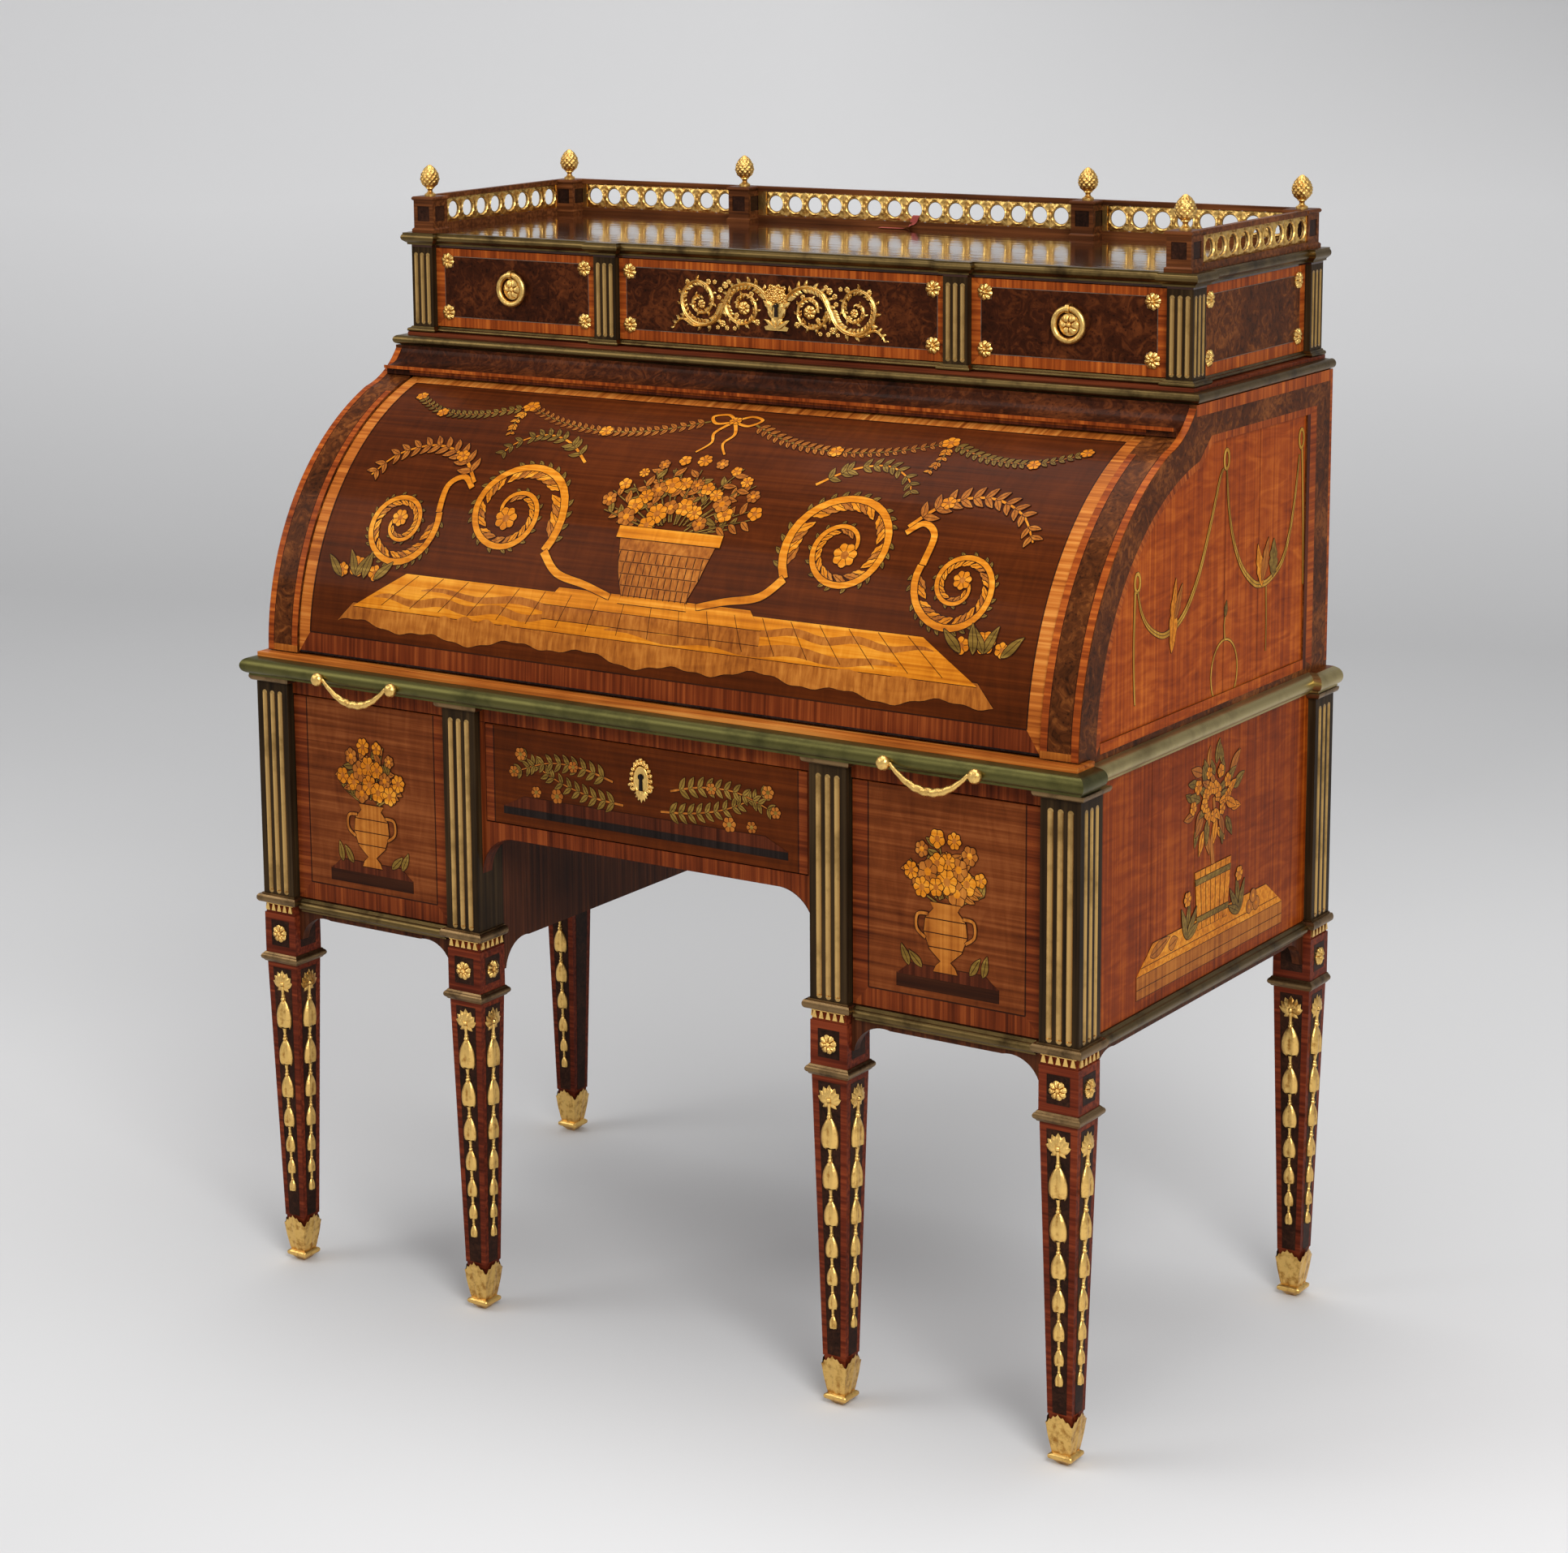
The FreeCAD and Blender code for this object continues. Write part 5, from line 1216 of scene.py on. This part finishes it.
def festoons():
    """Inlaid cords that hang in two festoons from three loops, with leafy drops, in (y, z)."""
    inlay = Inlay(2, 0.7)
    for at, tall in (((-155, 959), 10), ((55, 1064), 11), ((248, 1062), 11)):
        inlay.band("cord", ellipse(at, 6, tall, 14), 1.9, 1.9)
    for points in (
            [(-154, 949), (-145, 925), (-128, 906), (-103, 893), (-84, 891), (-57, 899), (-34, 915), (-8, 947),
             (18, 998), (39, 1045), (48, 1054)],
            [(56, 1051), (62, 1009), (76, 968), (98, 935), (126, 914), (145, 908), (170, 910), (203, 927),
             (223, 962), (236, 1007), (243, 1044)]):
        path = smooth_path(points, 4)
        inlay.piece("cord", stroke(path, [1.2 + 2.2 * math.sin(turn) for turn in taper(len(path), 0.0, math.pi)]))
        inlay.line(path, 0.3)
    for points in ([(-160, 950), (-162, 890), (-160, 845), (-158, 826)], [(250, 1050), (256, 966), (259, 890)]):
        inlay.band("cord", smooth_path(points, 6), 2.0, 1.0)
    for at, degrees, length, width, colour in (((-74, 868), 80, 82, 19, "amber"), ((150, 905), 100, 52, 18, "amber"),
                                               ((150, 912), 68, 50, 17, "honey"), ((178, 912), 84, 44, 22, "moss"),
                                               ((-66, 905), 62, 40, 12, "honey")):
        inlay.leaf(at, degrees, length, width, 0.06, colour, teeth=4)
    inlay.band("cord", ellipse((57, 822), 33, 38, 28), 1.1, 1.1)
    inlay.band("cord", [(57, 860), (55, 876), (58, 892)], 1.2, 0.8)
    inlay.piece("cord", stroke([(161, 904), (163, 866), (163, 828)], (1, 0.9, 0.6)))
    inlay.leaf((57, 886), 72, 18, 7, 0.1, "moss")
    return inlay.sheets


def dress_casings():
    arc = arc_points(CASING_R, ARC_LOW, NECK, 60)
    place, run = on_profile(arc + round_through(arc[-1], NECK_MIDDLE, NECK_TOP, 14)[1:])
    lip = math.radians(NECK - ARC_LOW) * CASING_R - 6
    inner, outer = FACING_X + 9, SIDE_X - 9
    strips = [
        ("tulip_x", rectangle(outer, SIDE_X - 0.3, 1, run), 0), ("burl_light", rectangle(inner, outer, 9, lip), 0),
        ("tulip_x", rectangle(FACING_X, inner, 9, lip), 0), ("honey", rectangle(FACING_X, outer, 1, 9), 0),
        ("line", rectangle(outer - LINE, outer, 9, lip), 1), ("line", rectangle(inner - 0.4, inner + 0.4, 9, lip), 1),
    ]
    surround, field = casing_sheets()
    for side, name in SIDES:
        veneers("facing_" + name, "desk", place, mirrored(strips, side), 5)
        veneers("casing_veneer_" + name, "desk", side_wall(side, SIDE_X), mirrored(surround, side))
        sunk = side_wall(side, SIDE_X - FIELD_SINK)
        veneers("casing_field_" + name, "desk", sunk, mirrored(field, side))
        veneers("festoons_" + name, "desk", sunk, mirrored(festoons(), side))


def terrace(picture):
    """Ragged ledge with ripples, and a stepped plinth over it."""
    ragged = [(-452 + 904 * step / 150, 47 + 4 * math.sin(0.33 * step) + 4 * math.sin(0.13 * step + 1)
               + 1.2 * math.sin(1.1 * step)) for step in range(151)]
    picture.piece("honey", ragged + [(430, 74), (-430, 74)])
    picture.piece("amber", [(-430, 70), (430, 70), (356, 116), (-356, 116)])
    for start, end, level, half in ((-400, -120, 84, 5), (-330, 60, 98, 4), (-60, 330, 80, 6), (90, 372, 101, 4),
                                    (-300, -190, 66, 5), (180, 420, 62, 6)):
        wave = [(start + (end - start) * step / 24, level + 3 * math.sin(0.9 * step)) for step in range(25)]
        swell = [0.6 + half * math.sin(math.pi * step / 24) ** 0.5 for step in range(25)]
        picture.sheets.append(("honey", stroke(wave, swell), 1))
    picture.piece("amber", [(-150, 100), (150, 100), (132, 122), (-132, 122)])
    picture.piece("honey", rectangle(-150, 150, 84, 100))
    for step in range(-9, 10):
        picture.line([(step * 43, 75), (step * 37.5, 115)], 0.35)


def scrollwork():
    """Right half of the scrolls, sprays and garlands beside the basket."""
    half = Inlay(0, 0.9)
    half.scroll((228, 206), 76, 215, -1.75, 5.2, 1.0)
    half.scroll((385, 176), 56, 160, 1.75, 4.2, 0.8)
    half.band("amber", smooth_path([(60, 118), (96, 128), (140, 138), (166, 162)], 6), 3.6, 5.2)
    half.band("amber", smooth_path([(300, 232), (318, 246), (336, 232), (334, 196)], 6), 3.4, 4.2)
    for points, count, *look in (
            ([(300, 240), (336, 276), (384, 288), (430, 270), (456, 236)], 7, "honey", "amber", 22, 9, 15, 1.8),
            ([(160, 284), (196, 312), (236, 322), (270, 306), (284, 284)], 7, "moss", "amber", 17, 7, 13, 1.4),
            ([(26, 376), (90, 348), (160, 338), (230, 347), (292, 372)], 7, "honey", "moss", 13, 6, 9, 1.1),
            ([(292, 372), (350, 349), (410, 347), (462, 372)], 7, "moss", "honey", 12, 6, 9, 1.1),
            ([(292, 370), (296, 344), (290, 318)], 6, "amber", "moss", 10, 5, 8, 0.9)):
        half.spray(smooth_path(points, count), *look)
    for at, radius in (((292, 372), 11), ((160, 338), 9), ((410, 345), 8), ((462, 374), 8), ((336, 276), 9),
                       ((432, 118), 13), ((404, 112), 10), ((454, 112), 9)):
        half.bloom(at, radius, 6, 10 * radius)
    for at, degrees in (((432, 106), 60), ((432, 106), 115), ((404, 104), 130), ((454, 104), 40), ((420, 104), 95)):
        half.leaf(at, degrees, 34, 10, 0.1, "moss")
    half.band("amber", smooth_path([(0, 378), (16, 390), (34, 384), (22, 370), (0, 376)], 6), 2.0, 2.0, 1)
    half.band("amber", smooth_path([(2, 374), (14, 352), (8, 334), (20, 316)], 6), 2.4, 1.2, 1)
    return half.sheets


def dress_roll():
    """Crossbanded border round a dark ground, with a basket of flowers between scrolls of acanthus."""
    place = on_roll(ROLL_R)
    v0, v1 = ROLL_R * math.radians(1.05), ROLL_R * math.radians(74.9)
    edge = high("roll_panel", "x") - 0.2
    inner, low_v, high_v = edge - 17, v0 + 26, v1 - 26
    sheets = border((-edge, edge, v0, v1), (-inner, inner, low_v, high_v),
                    "tulip_dark_arc", "tulip_light_arc", "tulip_light_x")
    # Black strip along the roll's lower edge: painted shade for the dark gap between the roll and the slide.
    sheets.insert(1, ("black", rectangle(-edge, edge, v0, v0 + 2.2), 1))
    corners = rectangle(-inner, inner, low_v, high_v)
    veneers("roll_border", "roll", place, sheets + stringing(corners + corners[:1]), ROLL_STEP)

    picture = Inlay(0, 0.8)
    terrace(picture)
    half = scrollwork()
    for side in (-1, 1):
        picture.sheets += mirrored(half, side)
    bouquet(picture, (0, 196), 250, 122, 11, 7)
    basket(picture, (0, 112), 132, 92)
    picture.bloom((0, 378), 8, 6, 0, above=3)
    veneers("roll_picture", "roll", place, picture.sheets, ROLL_STEP)


def dress_cove():
    """Strips of the hollow over the roll, which carries its own burl."""
    lip_y, lip_z = low("cove", "y"), ATTIC_BASE - 25
    reach = SIDE_X - 9.5
    veneers("cove_lip", "desk", front_wall(lip_y), [("tulip_z", rectangle(-reach, reach, lip_z, lip_z + 4), 0)])
    reach -= 36
    veneers("cove_fascia", "desk", front_wall(lip_y + 6),
            [("tulip_z", rectangle(-reach, reach, lip_z - 4, lip_z), 0),
             # The rosewood strip below the tulip is painted shade: the dark gap under the lip.
             ("rosewood", rectangle(-reach, reach, lip_z - 7, lip_z - 4), 0)])


# ---------------------------------------------------------------- lower case

def flower_vase(seed):
    """Vase of flowers on a dark plinth, for a pedestal front; centred, standing on v = 0."""
    inlay = Inlay(2, 0.8)
    inlay.piece("line", rectangle(-62, 66, 0, 12))
    inlay.piece("rosewood", [(-62, 12), (66, 12), (48, 24), (-44, 24)])
    bouquet(inlay, (0, 84), 112, 76, 6, seed)
    profile = [(15, 20), (12, 26), (6, 31), (20, 42), (27, 58), (25, 72), (15, 82), (19, 88)]
    inlay.piece("honey", [(-15, 20)] + profile + [(-u, v) for u, v in profile[:0:-1]], 3)
    for level, reach in ((44, 21), (58, 27), (72, 25)):
        inlay.line([(-reach, level), (reach, level)], 0.5, 6)
    for side in (-1, 1):
        handle = smooth_path([(side * 22, 76), (side * 35, 74), (side * 36, 60), (side * 25, 52)], 5)
        inlay.band("honey", handle, 1.5, 1.5, 3)
        for u, lean in ((30, 42), (46, 20)):
            inlay.leaf((side * u, 22), 90 - side * lean, 22, 8, 0.1, "moss")
    return inlay.sheets


def dress_pedestals():
    wall = front_wall(PANEL_Y)
    for side, name in SIDES:
        body = "pedestal_drawer_" + name
        x0, x1, z0, z1 = front_box(body + "_front")
        left, right, foot = x0 + 20, x1 - 20, z0 + 22
        below, _, *uprights = border((x0, x1, z0, z1), (left, right, foot, z1), "tulip_dark_z", "", "tulip_dark_x")
        sheets = uprights + [below, ("ground_low", rectangle(left, right, foot, z1), 0)]
        for corners in ([(left, foot), (left, z1)], [(right, foot), (right, z1)], [(left, foot), (right, foot)]):
            sheets += stringing(corners)
        sheets += mirrored(flower_vase(21 if side > 0 else 34), side, ((x0 + x1) / 2, foot + 9), 1.14)
        veneers("front_" + name, body, wall, sheets)
        veneers("rail_" + name, "desk", wall, [("tulip_dark_z", rectangle(x0 - 1, x1 + 1, z1 + 2, z1 + 22), 0)])


def dress_frieze():
    """Frieze drawer with laurel sprigs, and the banding round it."""
    wall = front_wall(PANEL_Y)
    _, x1, z0, z1 = front_box("frieze_drawer_front")
    edge = x1 - 12
    sheets = [("tulip_dark_x", rectangle(-x1, -edge, z0, z1), 0), ("tulip_dark_x", rectangle(edge, x1, z0, z1), 0),
              ("ground_x", rectangle(-edge, edge, z0, z1), 0)]
    sheets += [("line", rectangle(u - LINE, u + LINE, z0, z1), 1) for u in (-edge, edge)]
    inlay = Inlay(2, 0.6)
    inlay.piece("black", rectangle(-198, 198, 632, 641))
    inlay.piece("rosewood", [(-198, 641), (198, 641), (168, 655), (-168, 655)])
    for side in (-1, 1):
        for points in ([(26, 664), (70, 668), (118, 680), (168, 704)], [(40, 690), (84, 700), (132, 700), (180, 684)]):
            inlay.spray(smooth_path([(side * u, v) for u, v in points], 8), "moss", "honey", 17, 7, 12, 1.0)
        for u, v, radius in ((172, 706, 8), (182, 684, 7), (96, 700, 7), (120, 662, 9), (150, 663, 7)):
            inlay.bloom((side * u, v), radius, 6, radius, ("honey", "moss"))
    veneers("frieze", "frieze_drawer", wall, sheets + inlay.sheets)

    arch, reach = 45, KNEE_X - 0.3
    apron_top, apron_low = z0 - 1.5, z0 - 19.5
    corner = [polar(arch, turn) for turn in taper(13, 0.0, math.pi / 2)]
    right = [(reach - arch + across, apron_low - arch + up + 0.3) for up, across in corner]
    outline = [(-u, v) for u, v in right[::-1]] + right + [(reach, apron_top), (-reach, apron_top)]
    trim = [outline, rectangle(-reach, reach, z1 + 2, z1 + 22), rectangle(-reach, -x1 - 1.5, apron_top, z1 + 1),
            rectangle(x1 + 1.5, reach, apron_top, z1 + 1)]
    veneers("kneehole_trim", "desk", wall, [("tulip_dark_z", shape, 0) for shape in trim])


def tub_of_flowers():
    """Flowering shrub in a hooped tub on a long ledge, in side-panel coordinates (y, z)."""
    inlay = Inlay(2, 0.8)
    inlay.piece("honey", rectangle(-150, 215, 494, 520))
    inlay.piece("amber", [(-150, 520), (215, 520), (172, 550), (-112, 550)])
    inlay.line([(-150, 505), (215, 505)], 0.4)
    inlay.line([(-140, 528), (203, 528)], 0.4)
    inlay.band("honey", smooth_path([(33, 606), (29, 634), (36, 656), (32, 684)], 6), 4, 2.4)
    crown = []
    draw = random.Random(5)
    for ring, count, size in ((62, 17, 30), (42, 13, 28), (22, 9, 26)):
        for step in range(count):
            degrees = 360 * step / count + draw.uniform(-8, 8)
            across, up = polar(ring, math.radians(degrees))
            crown.append(((32 + across * 0.8, 684 + up * 0.62), degrees + draw.uniform(-35, 35),
                          size * draw.uniform(0.75, 1.1)))
    for at, degrees, size in crown:
        inlay.leaf(at, degrees, size, size * 0.4, 0.1, draw.choice(("honey", "moss", "amber")))
    for step in range(15):
        across, up = polar(12 + 3.4 * step, math.radians(24 * step * 1.618))
        inlay.bloom((32 + across * 0.85, 684 + up * 0.6), draw.uniform(6.5, 9), 5, 9 * step)
    inlay.piece("amber", [(-4, 538), (70, 538), (78, 606), (-12, 606)], 2)
    for step in range(1, 7):
        inlay.line([(-4 + 74 * step / 7, 538), (-12 + 90 * step / 7, 606)], 0.5, 4)
    for level, a, b in ((550, -6, 72), (594, -11, 77)):
        inlay.piece("moss", [(a, level - 3), (b, level - 3), (b + 1, level + 3), (a - 1, level + 3)], 4)
    for side, foot in ((-1, -30), (1, 100)):
        for lean, size in ((0, 46), (28, 40), (-28, 40), (56, 30)):
            inlay.leaf((foot, 534), 90 + side * lean, size, 10, 0.12 * side, "moss")
        inlay.bloom((foot, 580), 9, 6, 0)
    for u, length in ((-118, 48), (-74, 22)):
        inlay.leaf((u, 536), 8, length, 14, 0.1, "honey")
    for at in ((128, 534), (146, 534), (137, 545)):
        inlay.bloom(at, 8, 0, 0, ("honey", "amber"))
    return inlay.sheets


def dress_sides():
    front, back = POST_Y + 2 * POST_HALF + 0.2, BACK_Y - 2 * POST_HALF - 0.2
    foot, head = 480.5, 759
    # The lower sides are in darker maple, as painted shade.
    sheets = [("maple_low", rectangle(front, back, foot, head), 0)]
    sheets += [("rosewood", rectangle(y, y + 0.5, foot, head), 1) for y in (-118, -14, 96)] + tub_of_flowers()
    for side, name in SIDES:
        veneers("side_" + name, "desk", side_wall(side, SIDE_X), mirrored(sheets, side))


def make_escutcheon():
    """Openwork cartouche round a keyhole."""
    oval = [(u, v) for v, u in ellipse((0, 0), 15.5, 9.2, 24)]
    parts = [tube(oval, [1.6] * len(oval), 1.1), flat_shape([(u * 0.92, v * 0.92) for u, v in oval[:-1]], 1.0)]
    pearl = relief(lambda a: 2.7, lambda t, a: 2.0 * math.sin(math.pi * t), 5, 12)
    for degrees in taper(15, -38, 218):
        turn = math.radians(degrees)
        parts.append(turned(pearl, shift=(13.4 * math.cos(turn), 1 + 19.5 * math.sin(turn), 0.3)))
    for u, v, radius in ((0, 24.5, 2.4), (-4.6, 22.4, 2.2), (4.6, 22.4, 2.2), (-8.6, 19.2, 1.9), (8.6, 19.2, 1.9)):
        parts.append(turned(drop(radius, 1.0), shift=(u, v, 0.6)))
    for step in range(-3, 4):
        parts.append(turned(blade(14 - abs(step) * 1.2, 6, 3.2), 22 * step - 90, (0, -12, 0.3)))
    for side in (-1, 1):
        curl = spiral((side * 12.6, -9.5), 5, 90 - side * 60, side * 1.1, 0.75, 18)
        parts.append(tube(curl, taper(len(curl), 1.8, 0.9), 1.2))
    level = 697
    add("escutcheon", placed(joined(parts), facing((0, PANEL_Y - 4 * BAND, level))), "gilt", "frieze_drawer")
    keyhole("frieze_keyhole", "frieze_drawer", (0, PANEL_Y - 2.2, level), 0.8, 1.7)


# ---------------------------------------------------------------- festoon handles

def festoon(name):
    """Leafy rope of the handle's whole width, thickest in its hanging middle."""
    x0, x1 = low("swag_" + name, "x"), high("swag_" + name, "x")
    hinge = pivot("swag_%s_swing" % name)
    lowest = low("swag_" + name, "z") + 4.2
    pin = (x1 - x0) / 2
    reach = pin - 6
    spots = [(reach * across, abs(across) ** 2.1) for across in taper(49, -1.0, 1.0)]
    spots = [(-pin, 1), (-reach - 2, 1)] + spots + [(reach + 2, 1), (pin, 1)]
    path = [Vector(((x0 + x1) / 2 + u, hinge.y, lowest + (hinge.z - lowest) * height)) for u, height in spots]
    rows = []
    last = len(path) - 1
    for index, here in enumerate(path):
        t = index / last
        ahead = (path[min(index + 1, last)] - path[max(index - 1, 0)]).normalized()
        side = ahead.cross(Vector((0, 1, 0))).normalized()
        front = side.cross(ahead)
        radius = 1.9 + 2.9 * math.sin(math.pi * t) ** 1.3
        row = []
        for turn in circle(14):
            leafy = math.sin(84 * t + 2 * turn) * math.cos(3 * turn + 30 * t) * math.sin(math.pi * t) ** 0.4
            across, out = polar(radius * (1 + 0.2 * leafy), turn)
            row.append(here + side * across + front * out * 0.8)
        rows.append(row)
    return skin(rows, ring=True)


def ball(x, y, z):
    """Chased ball with a flower on its front."""
    rows = []
    for step in range(13):
        turn = math.pi * step / 12
        depth = 6.4 * math.cos(turn) * (1 if step < 6 else 0.9)
        row = []
        for a in circle(20):
            bump = 1 + 0.07 * math.cos(5 * a + 2 * step) * math.sin(turn)
            across, up = polar(8.2 * math.sin(turn) * bump, a)
            row.append((x + across, y - depth, z + up))
        rows.append(row)
    return joined([skin(rows, ring=True), placed(flower(6.2, 6, 2.2), facing((x, y - 4, z)))])


def make_swags():
    for _, name in SIDES:
        piece = add("festoon_" + name, festoon(name), "gilt", "swag_handle_" + name)
        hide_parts("swag_" + name)
    y, z = low("swag_posts", "y") + 6.4, 768
    balls = [ball(side * 396.5 + end * 56.5, y, z) for side in (-1, 1) for end in (-1, 1)]
    piece = add("festoon_posts", joined(balls), "gilt", "slide")
    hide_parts("swag_posts")


# ---------------------------------------------------------------- room, in metres

WALL, SWEEP, REACH = 5.6, 1.6, 14.0
LAMPS = (("key", (3.2, -3.0, 3.4), 2.2, 150), ("fill", (-3.4, -3.4, 3.4), 3.0, 62), ("top", (-0.2, 0.2, 4.2), 3.2, 70))


def paper():
    """Pale grey, painted lighter upwards and to the right and darker in a soft patch of painted shade, for the fall of
    the lamps' light.
    """
    material, tree, shader = new_material("paper", Roughness=0.9)
    where = object_place(tree)
    parts = node(tree, "SeparateXYZ", i0=where)
    height, breadth = parts.outputs["Z"], parts.outputs["X"]
    # Painted light: the colour grows lighter with height, with a little random tone.
    rise = math_node(tree, "ADD", math_node(tree, "MULTIPLY", height, 0.5),
                     math_node(tree, "MULTIPLY", noise(tree, where, 0.4, Detail=2.0), 0.15))
    colour = steps(tree, rise, [(0.0, (204, 204, 204)), (0.1, (216, 216, 216)), (0.5, (250, 250, 250))])
    # Painted light: lighter towards the right.
    near = ramp(tree, breadth, From_Min=-0.3, From_Max=1.1, To_Min=0.93, To_Max=1.12)
    # Painted shade: a soft darker patch high up towards the right.
    right = ramp(tree, breadth, From_Min=-3.0, From_Max=-0.6)
    patch = math_node(tree, "MULTIPLY", right, ramp(tree, height, From_Min=0.5, From_Max=1.5))
    shade = math_node(tree, "SUBTRACT", 1.0, math_node(tree, "MULTIPLY", patch, 0.42))
    tone = node(tree, "VectorMath", {"operation": "SCALE"}, i0=colour, Scale=math_node(tree, "MULTIPLY", shade, near))
    tree.links.new(tone.outputs[0], shader.inputs["Base Color"])
    return material


def make_room():
    """Pale floor that sweeps up into a backdrop, and three soft lamps."""
    profile = [(-REACH, 0.0), (WALL - SWEEP, 0.0)]
    for step in range(1, 13):
        up, along = polar(SWEEP, math.radians(90 * step / 12))
        profile.append((WALL - SWEEP + along, SWEEP - up))
    profile.append((WALL, 6.0))
    heading = Matrix.Rotation(math.radians(20), 3, "Z")
    points, faces = skin([[tuple(heading @ Vector((x, y, z))) for x in (-REACH, 0.0, REACH)] for y, z in profile])
    mesh = bpy.data.meshes.new("floor")
    mesh.from_pydata(points, [], faces)
    for polygon in mesh.polygons:
        polygon.use_smooth = True
    mesh.materials.append(paper())
    floor = bpy.data.objects.new("floor", mesh)
    bpy.context.scene.collection.objects.link(floor)
    floor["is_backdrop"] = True
    world = bpy.data.worlds.new("room")
    world.use_nodes = True
    background = world.node_tree.nodes["Background"]
    background.inputs["Color"].default_value = (0.98, 0.98, 1.0, 1.0)
    background.inputs["Strength"].default_value = 0.5
    bpy.context.scene.world = world
    for name, at, size, power in LAMPS:
        data = bpy.data.lights.new(name, "AREA")
        data.shape = "DISK"
        data.size = size
        data.energy = power
        lamp = bpy.data.objects.new(name, data)
        lamp.location = at
        lamp.rotation_euler = (Vector((0, 0, 0.7)) - Vector(at)).to_track_quat("-Z", "Y").to_euler()
        bpy.context.scene.collection.objects.link(lamp)
    bpy.context.scene.view_settings.view_transform = "Standard"


# ---------------------------------------------------------------- finishes of the frame's own nodes

NODE_FINISH = {
    "rose_cross": "leg_front_* leg_rear_*",
    "rosewood": "kneehole_frame",
    "ebony": "posts_* attic_pilasters",
    "rail": "gallery_posts gallery_rails",
    "burl_light": "casing_*",
    "burl": "cove",
    "walnut": "pedestal_left pedestal_right",
    "tulip_z": "*_drawer*_front",
    "ground_x": "roll_panel",
    "oak": "top_board upper_back",
    "oak_side": "*_drawer*_box",
    "tulip_light_x": "writing_slide",
    "mahogany": "nest* attic_carcase",
    "top": "attic_top",
    "brass": "bottom_moulding attic_mouldings cornice",
    # The side moulding is painted lighter (painted light) and the front moulding darker (patina with painted shade).
    "brass_front": "slide_moulding",
    "brass_side": "waist_moulding",
    "bronze": "leg_collars post_mouldings",
    "brass_light": "flutes",
    "gilt": "leg_sabots swag_* ring_* finials gallery_rings",
    "iron": "leg_screws slide_brackets roll_arms axle_pins",
}


def finish_nodes():
    for material, patterns in NODE_FINISH.items():
        for name, piece in frame["nodes"].items():
            if any(fnmatch.fnmatch(name, pattern) for pattern in patterns.split()):
                for slot in piece.material_slots:
                    slot.material = MATERIALS[material]


def main():
    wave_top()
    make_camera()
    make_room()
    finish_nodes()
    dress_legs()
    make_sabots()
    dress_attic()
    make_gallery()
    make_finials()
    make_ribbon()
    dress_casings()
    dress_roll()
    dress_cove()
    dress_pedestals()
    dress_frieze()
    dress_sides()
    make_escutcheon()
    make_swags()


main()
both = {"cad": CAD_BOX, "visual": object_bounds()}
{name: [list(corner) for corner in box] for name, box in both.items()}
